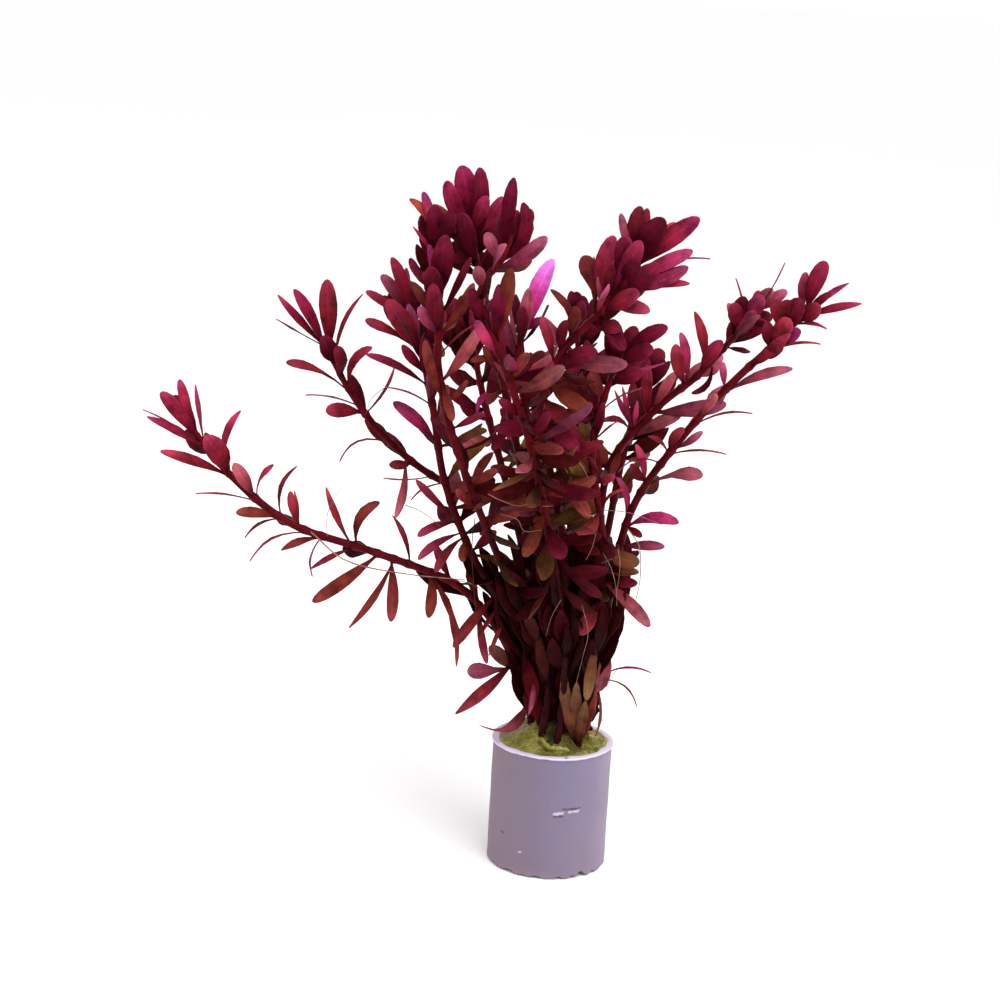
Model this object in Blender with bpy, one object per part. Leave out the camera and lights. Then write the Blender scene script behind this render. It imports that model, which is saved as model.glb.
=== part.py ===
# Rotala in a ceramic planting ring: a bunch of leafy shoots held by a plug of growing wool.
# Metres, +Z up, front of the plant toward -Y, base of the ring on Z = 0.
import math
import random

import bmesh
import bpy
from mathutils import Matrix, Vector
from mathutils.bvhtree import BVHTree

MM = 0.001

# Ceramic ring, in millimetres
RING_RADIUS = 17.6
RING_HEIGHT = 37.5
RING_WALL = 2.8
RING_SIDES = 28
LIP_WIDTH = 0.2
LIP_HEIGHT = 2.2
EDGE_ROUND = 0.5
# Chips along the foot: bearing in degrees, width, height
CHIPS = [(-128, 5.0, 0.9), (-98, 3.4, 0.7), (-70, 5.6, 1.1), (-38, 3.0, 0.8)]

# Growing wool, in millimetres
WOOL_GAP = 0.3
WOOL_EDGE = 36.2
WOOL_RISE = 8.6
WOOL_SIDES = 18
WOOL_STEPS = [1.0, 0.95, 0.75, 0.45, 0.2]
SOCKET_DEPTH = 3.4
SOCKET_GAP = 0.35
SOCKET_SIDES = 6

# Stems and leaves, in millimetres
STEM_SIDES = 6
STEM_RADIUS = 1.3
STEM_TIP_RADIUS = 0.75
STRAIGHT_FOOT = 4.0
BAND = 1.4
SHARED_GAP = 0.4
LONGEST_STEP = 14.0
LEAF_THICKNESS = 0.55
CLEARANCE = 0.3
LEAF_ABOVE_RING = 1.0
FLAT_SIDE = math.cos(math.pi / STEM_SIDES)
HALF_FOOT = 0.65
LIGHT = (0.1, -0.85, 0.5)

# How well a whorl suits a read leaf tip: misfits of length and lean, and crowding
LENGTH_MISFIT = 2.0
LEAN_MISFIT = 14.0
FULL_WHORL = 2.5
TAKEN_FACE = 9.0
BESIDE_TAKEN = 1.5
WORST_MISFIT = 6.5

# Whorls counted down from the growing tip: distance, leaf length, lean from the stem, leaves
WHORLS = [
    (0.9, 6.5, 10, 2),
    (2.4, 10.0, 21, 3),
    (3.9, 12.5, 33, 3),
    (7.4, 13.5, 43, 3),
    (12.0, 14.5, 51, 3),
    (18.0, 15.0, 58, 2),
    (25.2, 15.0, 64, 2),
    (33.6, 15.0, 69, 2),
    (43.2, 14.5, 74, 2),
    (54.2, 14.0, 79, 2),
    (67.0, 13.5, 85, 2),
]
LOW_LEAN = 100

# Leaf outlines: places along the leaf and shares of its full width there
YOUNG_LEAF = [(0.64, 1.0)]
GROWN_LEAF = [(0.42, 0.72), (0.78, 1.0)]
TIP_SHARE = 0.38
LONG_LEAF = 17.0

# Readings are taken off a picture of the plant as seen from the eye point: pixels across and
# down the picture, and the depth in millimetres behind the ring's axis
EYE = (0.0, -620.0, 254.0)
EYE_TURN = (1.8, -13.2, -3.2)
PICTURE_DISTANCE = 2210.0
PICTURE_MIDDLE = 500.0

# Shoots: the foot on the wool in millimetres, then readings of the stem's route, of the leaf
# tips that can be told apart, and of the low leaves (root across and down, then the tip), with
# the leaf width in millimetres, the whorls used and the colour
SHOOTS = {
    "shoot_far_left": {
        "foot": (-6, -2.5),
        "route": [(528, 700, -4), (506, 645, -9), (480, 606, -13), (450, 581, -16), (371, 551, -20),
                  (290, 523, -22), (227, 472, -21), (193, 429, -19)],
        "tips": [(160, 392, -22), (179, 379, -18), (197, 384, -12), (146, 416, -20),
                 (161, 451, -22), (239, 409, -16), (196, 491, -26), (283, 470, -20),
                 (337, 514, -22), (248, 543, -26), (275, 563, -28), (238, 512, -28),
                 (327, 490, -18)],
        "low": [(368, 552, 309, 601, -28), (378, 558, 349, 627, -32), (388, 563, 391, 622, -22),
                (404, 562, 394, 516, -12), (430, 570, 428, 617, -24), (440, 576, 457, 660, -26),
                (514, 665, 456, 708, -20), (524, 694, 482, 722, -12)],
        "width": 3.9,
        "whorls": 8,
        "colour": (0.2, 0.03, 0.055),
    },
    "shoot_left": {
        "foot": (-4.5, 3),
        "route": [(545, 690, 6), (542, 570, 14), (530, 526, 16), (508, 502, 16), (440, 480, 12),
                  (384, 436, 5), (348, 388, 2), (320, 334, 0)],
        "tips": [(328, 280, 0), (294, 289, 2), (278, 292, -4), (278, 317, 4), (361, 292, 4),
                 (285, 361, 6), (360, 346, -6), (324, 406, 0), (395, 365, 8), (338, 458, 4),
                 (432, 396, 14), (420, 440, 6)],
        "low": [(546, 620, 492, 560, 8)],
        "width": 3.9,
        "whorls": 10,
        "colour": (0.19, 0.024, 0.06),
    },
    "shoot_left_inner": {
        "foot": (-1.5, -4.5),
        "route": [(540, 690, -4), (520, 640, -9), (494, 592, -14), (470, 550, -17), (444, 479, -17),
                  (433, 408, -14), (418, 338, -10), (407, 308, -8)],
        "tips": [(392, 257, -4), (408, 267, -8), (382, 275, -2), (366, 289, -4), (365, 320, -10),
                 (376, 352, -16), (395, 404, -16), (390, 430, -10), (400, 480, -18)],
        "low": [(448, 508, 417, 478, -18), (455, 522, 417, 536, -20), (460, 534, 436, 572, -24),
                (466, 545, 500, 500, -14), (497, 596, 454, 646, -22), (505, 620, 482, 655, -16)],
        "width": 4.2,
        "whorls": 9,
        "colour": (0.21, 0.028, 0.07),
    },
    "shoot_top_left": {
        "foot": (-3.5, -9),
        "route": [(548, 690, -8), (532, 630, -16), (508, 580, -23), (456, 447, -34),
                  (438, 365, -33), (440, 316, -31), (436, 240, -28)],
        "tips": [(409, 198, -26), (425, 191, -30), (412, 226, -24), (446, 181, -28),
                 (413, 270, -34), (465, 300, -34), (465, 350, -26), (470, 372, -38),
                 (412, 330, -28), (404, 345, -34), (475, 395, -28), (415, 398, -30)],
        "low": [(452, 436, 487, 430, -30), (458, 452, 486, 442, -38), (475, 500, 452, 478, -34),
                (490, 540, 465, 560, -28), (500, 562, 530, 545, -30)],
        "width": 4.0,
        "whorls": 9,
        "colour": (0.2, 0.024, 0.07),
    },
    "shoot_top": {
        "foot": (-0.5, 1),
        "route": [(556, 690, 2), (552, 620, 0), (524, 480, -7), (496, 350, -14), (477, 262, -17),
                  (470, 228, -18)],
        "tips": [(460, 167, -20), (480, 167, -16), (446, 181, -24), (430, 205, -28),
                 (494, 180, -16), (500, 205, -20), (452, 250, -28), (440, 262, -14),
                 (470, 245, -32), (520, 300, -12)],
        "low": [(520, 465, 492, 430, -8), (530, 500, 500, 480, -12), (540, 550, 505, 560, -8),
                (546, 590, 580, 560, -6)],
        "width": 4.6,
        "whorls": 9,
        "colour": (0.19, 0.02, 0.075),
    },
    "shoot_top_bent": {
        "foot": (1.2, -9.5),
        "route": [(564, 690, -11), (562, 620, -22), (534, 460, -40), (504, 365, -47),
                  (479, 302, -50), (487, 278, -50), (503, 258, -49), (512, 234, -48)],
        "tips": [(515, 178, -48), (520, 200, -44), (545, 236, -42), (530, 212, -52),
                 (468, 300, -56), (512, 285, -56), (515, 345, -52), (470, 340, -42)],
        "low": [(540, 485, 570, 455, -38), (552, 540, 520, 520, -40), (560, 600, 590, 590, -34),
                (566, 668, 581, 733, -15)],
        "width": 3.6,
        "whorls": 9,
        "colour": (0.13, 0.014, 0.04),
    },
    "shoot_centre": {
        "foot": (3.5, 3),
        "route": [(566, 690, 4), (564, 620, 7), (556, 550, 10), (528, 420, 10), (519, 360, 8),
                  (524, 322, 7)],
        "tips": [(553, 260, 4), (500, 290, 4), (540, 290, 14), (494, 330, 14), (550, 340, 12)],
        "low": [(560, 590, 505, 540, 4), (563, 610, 600, 545, 12)],
        "width": 4.2,
        "whorls": 9,
        "colour": (0.24, 0.022, 0.11),
    },
    "shoot_centre_right": {
        "foot": (3.2, -4.5),
        "route": [(572, 690, -5), (576, 620, -11), (554, 490, -23), (540, 410, -27),
                  (562, 352, -31), (603, 309, -34), (636, 262, -34)],
        "tips": [(640, 206, -34), (622, 215, -30), (670, 219, -32), (700, 219, -28),
                 (711, 255, -30), (690, 284, -36), (609, 234, -38), (670, 304, -40),
                 (583, 257, -32), (660, 240, -40), (575, 310, -36), (645, 320, -30),
                 (545, 330, -38)],
        "low": [(545, 450, 575, 425, -28), (556, 495, 590, 480, -26), (568, 550, 545, 585, -26)],
        "width": 4.4,
        "whorls": 9,
        "colour": (0.2, 0.022, 0.075),
    },
    "shoot_right_inner": {
        "foot": (7, -8.5),
        "route": [(588, 696, -9), (596, 640, -16), (602, 580, -21), (602, 531, -24),
                  (592, 450, -26), (611, 378, -25), (625, 350, -24)],
        "tips": [(640, 330, -26), (655, 355, -24), (605, 330, -28), (610, 350, -34),
                 (640, 395, -22), (560, 395, -28), (640, 430, -22)],
        "low": [(600, 580, 650, 629, -26)],
        "width": 4.2,
        "whorls": 10,
        "colour": (0.19, 0.024, 0.065),
    },
    "shoot_right": {
        "foot": (8, 2.5),
        "route": [(584, 690, 4), (592, 620, 8), (602, 500, 13), (613, 458, 14), (659, 406, 11),
                  (700, 373, 8), (760, 308, 4)],
        "tips": [(737, 277, 6), (746, 295, -2), (775, 290, 2), (786, 290, 8), (802, 300, 6),
                 (760, 282, 10), (700, 312, 10), (728, 318, 12), (668, 352, 14), (707, 385, 2),
                 (648, 380, 18), (690, 420, 8), (640, 500, 20)],
        "low": [(594, 610, 640, 560, 16)],
        "width": 4.0,
        "whorls": 10,
        "colour": (0.19, 0.026, 0.06),
    },
    "shoot_far_right": {
        "foot": (8, -3),
        "route": [(594, 700, -3), (604, 640, -7), (612, 580, -10), (634, 505, -14), (680, 440, -17),
                  (727, 388, -18), (775, 343, -17), (810, 308, -16)],
        "tips": [(829, 260, -14), (850, 282, -18), (863, 305, -18), (822, 341, -22),
                 (793, 369, -20), (752, 413, -22), (818, 275, -10), (845, 300, -24),
                 (779, 334, -24), (722, 455, -22), (703, 475, -20), (680, 520, -20),
                 (664, 547, -16), (735, 345, -12), (620, 470, -20)],
        "low": [(603, 640, 597, 692, -14)],
        "width": 4.0,
        "whorls": 10,
        "colour": (0.21, 0.028, 0.06),
    },
    "shoot_back_left": {
        "foot": (-2.5, 8),
        "route": [(549, 684, 12), (536, 610, 23), (518, 530, 32), (500, 460, 38), (484, 400, 42),
                  (468, 322, 45)],
        "tips": [],
        "low": [],
        "width": 4.0,
        "whorls": 8,
        "colour": (0.17, 0.022, 0.05),
    },
    "shoot_back_centre": {
        "foot": (2.2, 8.5),
        "route": [(564, 684, 13), (566, 610, 27), (570, 530, 38), (576, 460, 45), (580, 400, 49),
                  (576, 318, 52)],
        "tips": [],
        "low": [],
        "width": 4.0,
        "whorls": 8,
        "colour": (0.17, 0.022, 0.05),
    },
    "shoot_back_right": {
        "foot": (7, 8),
        "route": [(578, 684, 12), (592, 610, 23), (608, 530, 33), (622, 460, 40), (646, 372, 45)],
        "tips": [],
        "low": [],
        "width": 4.0,
        "whorls": 8,
        "colour": (0.17, 0.022, 0.05),
    },
}


def clear_scene():
    for old in list(bpy.data.objects):
        bpy.data.objects.remove(old)


def make_material(name, colour, roughness):
    material = bpy.data.materials.new(name)
    material.use_nodes = True
    shader = material.node_tree.nodes["Principled BSDF"]
    shader.inputs["Base Color"].default_value = (*colour, 1.0)
    shader.inputs["Roughness"].default_value = roughness
    shader.inputs["Metallic"].default_value = 0.0
    return material


def add_object(name, bm, collection, material):
    bmesh.ops.scale(bm, vec=(MM, MM, MM), verts=bm.verts)
    bmesh.ops.recalc_face_normals(bm, faces=bm.faces)
    mesh = bpy.data.meshes.new(name)
    bm.to_mesh(mesh)
    bm.free()
    mesh.materials.append(material)
    thing = bpy.data.objects.new(name, mesh)
    collection.objects.link(thing)
    return thing


def cut(target, cutter):
    modifier = target.modifiers.new("cut", "BOOLEAN")
    modifier.operation = "DIFFERENCE"
    modifier.solver = "EXACT"
    modifier.object = cutter
    cutter.hide_render = True
    cutter.display_type = "WIRE"


def grow_cap(bm, cap, keep):
    grown = bmesh.ops.extrude_face_region(bm, geom=[cap])["geom"]
    if not keep:
        bmesh.ops.delete(bm, geom=[cap], context="FACES_ONLY")
    return [item for item in grown if isinstance(item, bmesh.types.BMFace)][0]


# Ceramic ring
def ceramic_ring(parts, cutters):
    inner = RING_RADIUS - RING_WALL
    lip = RING_RADIUS + LIP_WIDTH
    foot = EDGE_ROUND
    outline = [
        (inner, 0.0), (RING_RADIUS - foot, 0.0), (RING_RADIUS, foot),
        (RING_RADIUS, RING_HEIGHT - LIP_HEIGHT), (lip, RING_HEIGHT - LIP_HEIGHT + LIP_WIDTH),
        (lip, RING_HEIGHT - foot), (lip - foot, RING_HEIGHT), (inner, RING_HEIGHT),
    ]
    bm = bmesh.new()
    verts = [bm.verts.new((x, 0.0, z)) for x, z in outline]
    edges = [bm.edges.new((verts[i - 1], verts[i])) for i in range(len(verts))]
    bmesh.ops.spin(bm, geom=verts + edges, cent=(0, 0, 0), axis=(0, 0, 1),
                   angle=math.tau, steps=RING_SIDES, use_merge=True)
    bmesh.ops.remove_doubles(bm, verts=bm.verts, dist=0.001)
    ring = add_object("ceramic_ring", bm, parts, make_material("ceramic", (0.34, 0.27, 0.36), 0.6))
    for number, (bearing, width, height) in enumerate(CHIPS):
        cut(ring, chip_cutter(number, bearing, width, height, cutters))


def chip_cutter(number, bearing, width, height, cutters):
    angle = math.radians(bearing)
    centre = Vector((math.cos(angle), math.sin(angle), 0.0)) * (RING_RADIUS + 0.1)
    bm = bmesh.new()
    bmesh.ops.create_icosphere(bm, subdivisions=1, radius=1.0)
    bmesh.ops.scale(bm, vec=(1.5, width / 2, height), verts=bm.verts)
    bmesh.ops.rotate(bm, cent=(0, 0, 0), verts=bm.verts,
                     matrix=Vector((1, 0, 0)).rotation_difference(
                         Vector((math.cos(angle), math.sin(angle), 0.0))).to_matrix())
    bmesh.ops.translate(bm, vec=centre, verts=bm.verts)
    return add_object(f"chip_cutter_{number}", bm, cutters, cutter_material())


def cutter_material():
    return bpy.data.materials.get("cutter") or make_material("cutter", (0.5, 0.5, 0.5), 0.5)


# Growing wool
def wool_height(x, y):
    reach = min(1.0, math.hypot(x, y) / wool_radius())
    bearing = math.atan2(y, x)
    folds = 0.45 * math.sin(3 * bearing + 0.6) + 0.3 * math.sin(5 * bearing + 2.0)
    return WOOL_EDGE + WOOL_RISE * (1 - reach ** 2) + folds * math.sin(math.pi * reach)


def wool_radius():
    return RING_RADIUS - RING_WALL - WOOL_GAP


def growing_wool(parts, cutters, routes):
    bm = bmesh.new()
    made = bmesh.ops.create_circle(bm, cap_ends=True, segments=WOOL_SIDES, radius=wool_radius())
    cap = made["verts"][0].link_faces[0]
    for number, share in enumerate(WOOL_STEPS):
        cap = grow_cap(bm, cap, keep=number == 0)
        for vert in cap.verts:
            flat = Vector((vert.co.x, vert.co.y)).normalized() * wool_radius() * share
            vert.co = (flat.x, flat.y, wool_height(flat.x, flat.y))
    bmesh.ops.poke(bm, faces=[cap])
    wool = add_object("growing_wool", bm, parts, make_material("wool", (0.42, 0.40, 0.10), 0.95))
    for name, route in routes.items():
        cut(wool, socket_cutter(name, route, cutters))


def socket_cutter(name, route, cutters):
    foot, along = route.at(0.0)
    radius = (STEM_RADIUS + SOCKET_GAP) / math.cos(math.pi / SOCKET_SIDES)
    length = SOCKET_DEPTH * 2 + 2
    bm = bmesh.new()
    bmesh.ops.create_cone(bm, cap_ends=True, segments=SOCKET_SIDES, radius1=radius,
                          radius2=radius, depth=length)
    bmesh.ops.translate(bm, vec=(0, 0, length / 2 - SOCKET_GAP), verts=bm.verts)
    bmesh.ops.rotate(bm, cent=(0, 0, 0), verts=bm.verts,
                     matrix=Vector((0, 0, 1)).rotation_difference(along).to_matrix())
    bmesh.ops.translate(bm, vec=foot, verts=bm.verts)
    return add_object("socket_" + name, bm, cutters, cutter_material())


# Readings to places and back
def eye_axes():
    yaw, pitch, roll = [math.radians(angle) for angle in EYE_TURN]
    return (Matrix.Rotation(yaw, 3, "Z") @ Matrix.Rotation(pitch, 3, "X")
            @ Matrix.Rotation(roll, 3, "Y"))


def place_in_picture(across_px, down_px, depth):
    sight = eye_axes() @ Vector(((across_px - PICTURE_MIDDLE) / PICTURE_DISTANCE, 1.0,
                                 (PICTURE_MIDDLE - down_px) / PICTURE_DISTANCE))
    return Vector(EYE) + sight * (depth - EYE[1]) / sight.y


def picture_of(place):
    seen = eye_axes().transposed() @ (place - Vector(EYE))
    return Vector((PICTURE_MIDDLE + PICTURE_DISTANCE * seen.x / seen.y,
                   PICTURE_MIDDLE - PICTURE_DISTANCE * seen.z / seen.y))


# Stem route: a smooth line through the chosen points, measured along its length
class Route:
    def __init__(self, spot, readings):
        x, y = spot
        foot = Vector((x, y, wool_height(x, y) - SOCKET_DEPTH))
        chosen = [place_in_picture(*reading) for reading in readings]
        knee = foot + (chosen[0] - foot).normalized() * STRAIGHT_FOOT
        line = [foot, knee] + [p for p in chosen if (p - knee).length > 3.0]
        self.places = [foot]
        for i in range(len(line) - 1):
            before = line[i - 1] if i else 2 * line[0] - line[1]
            after = line[i + 2] if i + 2 < len(line) else 2 * line[-1] - line[-2]
            self.places += smooth_piece(before, line[i], line[i + 1], after)
        self.marks = [0.0]
        for here, there in zip(self.places, self.places[1:]):
            self.marks.append(self.marks[-1] + (there - here).length)
        self.length = self.marks[-1]

    def at(self, distance):
        distance = min(max(distance, 0.0), self.length)
        i = 0
        while i < len(self.marks) - 2 and self.marks[i + 1] < distance:
            i += 1
        share = (distance - self.marks[i]) / (self.marks[i + 1] - self.marks[i])
        place = self.places[i].lerp(self.places[i + 1], share)
        low = self.places[max(i - 1, 0)]
        high = self.places[min(i + 2, len(self.places) - 1)]
        return place, (high - low).normalized()


def smooth_piece(before, start, end, after):
    steps = max(2, round((end - start).length / 1.5))
    span = (end - start).length
    leave = (end - before).normalized() * span
    arrive = (after - start).normalized() * span
    places = []
    for step in range(1, steps + 1):
        t = step / steps
        places.append(start * (2 * t ** 3 - 3 * t ** 2 + 1) + end * (3 * t ** 2 - 2 * t ** 3)
                      + leave * (t ** 3 - 2 * t ** 2 + t) + arrive * (t ** 3 - t ** 2))
    return places


# Bearings round a stem are measured from the front of the plant
def across(along, bearing):
    front = Vector((0, -1, 0))
    front = (front - along * front.dot(along)).normalized()
    side = along.cross(front)
    angle = math.radians(bearing)
    return front * math.cos(angle) + side * math.sin(angle)


def bearing_of(along, direction):
    front = across(along, 0.0)
    side = across(along, 90.0)
    return math.degrees(math.atan2(direction.dot(side), direction.dot(front)))


def stem_radius(route, distance):
    young = min(1.0, (route.length - distance) / 25.0)
    return STEM_TIP_RADIUS + (STEM_RADIUS - STEM_TIP_RADIUS) * young


# One leaf: the blade leaves its band of the stem and arches outward
class Leaf:
    def __init__(self, route, distance, bearing, lean, arch, length, width, shape, twist):
        self.route = route
        self.distance = distance
        self.bearing = bearing
        self.lean = lean
        self.arch = arch
        self.length = length
        self.width = width
        self.shape = shape
        self.twist = twist

    def sections(self, extra=0.0):
        middle, along = self.route.at(self.distance)
        out = across(along, self.bearing)
        root = middle + out * stem_radius(self.route, self.distance) * FLAT_SIDE
        start = math.radians(self.lean - self.arch)
        turn = math.radians(2 * self.arch)
        rows = []
        for place, share in self.shape + [(1.0, TIP_SHARE)]:
            here = root + self.length * place * self.mean_direction(along, out, start, turn * place)
            lean = start + turn * place
            blade = along * math.cos(lean) + out * math.sin(lean)
            rows.append(self.row(here, blade, along, out, lean, share, place, extra))
        return rows

    def mean_direction(self, along, out, start, turn):
        if abs(turn) < 1e-4:
            return along * math.cos(start) + out * math.sin(start)
        up = (math.sin(start + turn) - math.sin(start)) / turn
        aside = (math.cos(start) - math.cos(start + turn)) / turn
        return along * up + out * aside

    def row(self, here, blade, along, out, lean, share, place, extra):
        side = along.cross(out)
        under = out * math.cos(lean) - along * math.sin(lean)
        angle = math.radians(self.twist)
        side, under = (side * math.cos(angle) + under * math.sin(angle),
                       under * math.cos(angle) - side * math.sin(angle))
        half = self.width * share / 2 + extra
        thick = LEAF_THICKNESS / 2 + extra
        if place == 1.0:
            here = here + blade * extra
            return [here - side * half, here + side * half]
        return [here - side * half + under * thick, here + side * half + under * thick,
                here + side * half - under * thick, here - side * half - under * thick]


def twist_to_light(route, distance, bearing, lean, most):
    middle, along = route.at(distance)
    out = across(along, bearing)
    angle = math.radians(lean)
    under = out * math.cos(angle) - along * math.sin(angle)
    side = along.cross(out)
    light = Vector(LIGHT)
    turn = math.degrees(math.atan2(side.dot(light), -under.dot(light)))
    if turn > 90:
        turn -= 180
    if turn < -90:
        turn += 180
    return max(-most, min(most, turn))


# Shapes used to keep the leaves clear of each other
class Body:
    def __init__(self, verts, faces):
        self.low = [min(v[i] for v in verts) for i in range(3)]
        self.high = [max(v[i] for v in verts) for i in range(3)]
        self.tree = BVHTree.FromPolygons(verts, faces)

    def touches(self, other):
        for i in range(3):
            if self.low[i] > other.high[i] or other.low[i] > self.high[i]:
                return False
        return bool(self.tree.overlap(other.tree))


def leaf_body(leaf, extra, whole):
    rows = leaf.sections(extra)
    middle, along = leaf.route.at(leaf.distance)
    out = across(along, leaf.bearing)
    base = middle + out * (stem_radius(leaf.route, leaf.distance) * FLAT_SIDE)
    side = along.cross(out) * (HALF_FOOT + extra)
    rise = along * (BAND / 2 + extra)
    foot = [base - side - rise, base + side - rise, base + side + rise, base - side + rise]
    quarter = round(leaf.twist / 90)
    foot = [foot[(i - quarter) % 4] for i in range(4)]
    if not whole:
        foot = [a.lerp(b, 0.45) for a, b in zip(foot, rows[0])]
    verts = foot + [v for row in rows for v in row]
    faces = [(0, 1, 2, 3)]
    for i in range(len(rows) - 1):
        low = 4 * i
        faces += [(low + k, low + (k + 1) % 4, low + 4 + (k + 1) % 4, low + 4 + k) for k in range(4)]
    low = 4 * (len(rows) - 1)
    left, right = low + 4, low + 5
    faces += [(low, low + 1, right, left), (low + 1, low + 2, right),
              (low + 2, low + 3, left, right), (low + 3, low, left)]
    return Body(verts, faces)


def stem_body(route):
    verts = []
    faces = []
    steps = max(2, round(route.length / 3))
    for step in range(steps + 1):
        distance = route.length * step / steps
        middle, along = route.at(distance)
        radius = stem_radius(route, distance) + 0.1
        verts += [middle + across(along, 60 * k) * radius for k in range(6)]
        if step:
            low = 6 * (step - 1)
            faces += [(low + k, low + (k + 1) % 6, low + 6 + (k + 1) % 6, low + 6 + k)
                      for k in range(6)]
    return Body(verts, faces)


# Whorls of one shoot: each has a distance along the stem, a roll and the leaves of its faces
class Whorl:
    def __init__(self, distance, length, lean, count, roll):
        self.distance = distance
        self.length = length
        self.lean = lean
        self.count = count
        self.roll = roll
        self.wanted = {}
        self.leaves = {}


def plan_whorls(route, used, dice):
    whorls = []
    roll = dice.uniform(0, 60)
    for down, length, lean, count in WHORLS[:used]:
        distance = route.length - down
        if distance < SOCKET_DEPTH + 8:
            break
        whorls.append(Whorl(distance, length, lean, count, roll))
        roll += 60 if down < 3 else 30
    return whorls


def plan_low_leaves(route, limit, low):
    rooted = sorted((nearest_distance(route, reading[:2]), reading[2:]) for reading in low)
    whorls = []
    for distance, tip in reversed(rooted):
        target = place_in_picture(*tip)
        limit = min(distance, limit - 2 * BAND)
        middle, along = route.at(limit)
        reach = target - middle
        roll = bearing_of(along, reach - along * reach.dot(along))
        whorl = Whorl(limit, reach.length, LOW_LEAN, 1, roll)
        whorl.wanted[0] = target
        whorls.append(whorl)
    return whorls


def nearest_distance(route, reading):
    steps = [step * 0.5 for step in range(int(route.length / 0.5))]
    return min(steps, key=lambda d: (picture_of(route.at(d)[0]) - Vector(reading)).length)


def assign_tips(route, whorls, tips):
    for tip in tips:
        target = place_in_picture(*tip)
        best = None
        for whorl in whorls:
            middle, along = route.at(whorl.distance)
            reach = target - middle
            lean = math.degrees(reach.angle(along))
            cost = abs(reach.length - STEM_RADIUS - whorl.length) / LENGTH_MISFIT
            cost += abs(lean - whorl.lean) / LEAN_MISFIT
            cost += FULL_WHORL * (len(whorl.wanted) >= whorl.count)
            bearing = bearing_of(along, reach - along * reach.dot(along))
            if not whorl.wanted:
                face, roll = 0, bearing
            else:
                face = round((bearing - whorl.roll) / 60) % 6
                roll = whorl.roll
                cost += TAKEN_FACE * (face in whorl.wanted)
                beside = {(face - 1) % 6, (face + 1) % 6}
                cost += BESIDE_TAKEN * bool(beside & set(whorl.wanted))
            if best is None or cost < best[0]:
                best = (cost, whorl, face, roll)
        cost, whorl, face, roll = best
        if cost < WORST_MISFIT:
            whorl.roll = roll
            whorl.wanted[face] = target


def settle_rolls(whorls):
    turned = None
    for whorl in reversed(whorls):
        if turned is not None and not whorl.wanted:
            whorl.roll = turned + 30
        turned = whorl.roll


def reaching_leaf(route, whorl, target, width):
    middle, along = route.at(whorl.distance)
    reach = target - middle
    out = (reach - along * reach.dot(along)).normalized()
    root = middle + out * stem_radius(route, whorl.distance) * FLAT_SIDE
    reach = target - root
    lean = math.degrees(reach.angle(along))
    bearing = bearing_of(along, out)
    arch = min(9.0, lean * 0.6)
    length = reach.length * 1.01
    shape = YOUNG_LEAF if length < LONG_LEAF else GROWN_LEAF
    twist = twist_to_light(route, whorl.distance, bearing, lean, 80)
    return Leaf(route, whorl.distance, bearing, lean, arch, length, width, shape, twist)


def ruled_leaf(route, whorl, face, width, dice):
    bearing = whorl.roll + 60 * face
    lean = whorl.lean + dice.uniform(-5, 5)
    length = whorl.length * dice.uniform(0.85, 1.08)
    arch = min(10.0, lean * 0.7)
    shape = YOUNG_LEAF if length < LONG_LEAF else GROWN_LEAF
    most = 25 if whorl.lean < 40 else 70
    twist = twist_to_light(route, whorl.distance, bearing, lean, most) * dice.uniform(0.6, 1.0)
    width = width * min(1.0, 0.55 + length / 22)
    return Leaf(route, whorl.distance, bearing, lean, arch, length, width, shape, twist)


# Small changes tried, in this order, until a leaf is clear of its neighbours
TRIES = [(lean, share, twist) for share in (1.0, 0.85, 0.7, 0.55) for twist in (1.0, 0.5, 0.0)
         for lean in (0, 6, -6, 12, -12, 20, -20)]


def place_leaf(leaf, own, others):
    lean, length, twist = leaf.lean, leaf.length, leaf.twist
    for change, share, part in TRIES:
        if lean + change < 6:
            continue
        leaf.lean = lean + change
        leaf.length = length * share
        leaf.twist = twist * part
        probe = leaf_body(leaf, CLEARANCE, False)
        if probe.low[2] < RING_HEIGHT + LEAF_ABOVE_RING:
            continue
        if not any(probe.touches(body) for body in own + others):
            return leaf_body(leaf, 0.0, True)
    return None


def plan_shoots():
    routes = {}
    plans = {}
    stems = {}
    grown = {}
    for number, (name, shoot) in enumerate(SHOOTS.items()):
        dice = random.Random(100 + number)
        routes[name] = Route(shoot["foot"], shoot["route"])
        plans[name] = plan_whorls(routes[name], shoot["whorls"], dice)
        assign_tips(routes[name], plans[name], shoot["tips"])
        plans[name] += plan_low_leaves(routes[name], plans[name][-1].distance, shoot["low"])
        settle_rolls(plans[name])
        stems[name] = stem_body(routes[name])
        grown[name] = []
    for stage in ("wanted", "ruled"):
        for number, name in enumerate(SHOOTS):
            grow_leaves(name, stage, routes[name], plans[name], stems, grown,
                        random.Random(500 + number))
    return routes, plans


def grow_leaves(name, stage, route, whorls, stems, grown, dice):
    width = SHOOTS[name]["width"]
    others = [body for other, body in stems.items() if other != name]
    others += [body for other, bodies in grown.items() if other != name for body in bodies]
    for whorl in whorls:
        if stage == "wanted":
            faces = [(face, reaching_leaf(route, whorl, target, width))
                     for face, target in whorl.wanted.items()]
        else:
            faces = []
            step = 2 if whorl.count == 3 else 3
            first = min(whorl.wanted) if whorl.wanted else 0
            for turn in range(6 // step):
                face = (first + step * turn) % 6
                near = {(face + shift) % 6 for shift in (-1, 0, 1)}
                if near & set(whorl.leaves) or len(whorl.leaves) >= whorl.count:
                    continue
                faces.append((face, ruled_leaf(route, whorl, face, width, dice)))
        for face, leaf in faces:
            if len(whorl.leaves) >= whorl.count + 1:
                continue
            body = place_leaf(leaf, [stems[name]] + grown[name], others)
            if body:
                whorl.leaves[face] = leaf
                grown[name].append(body)


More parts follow.
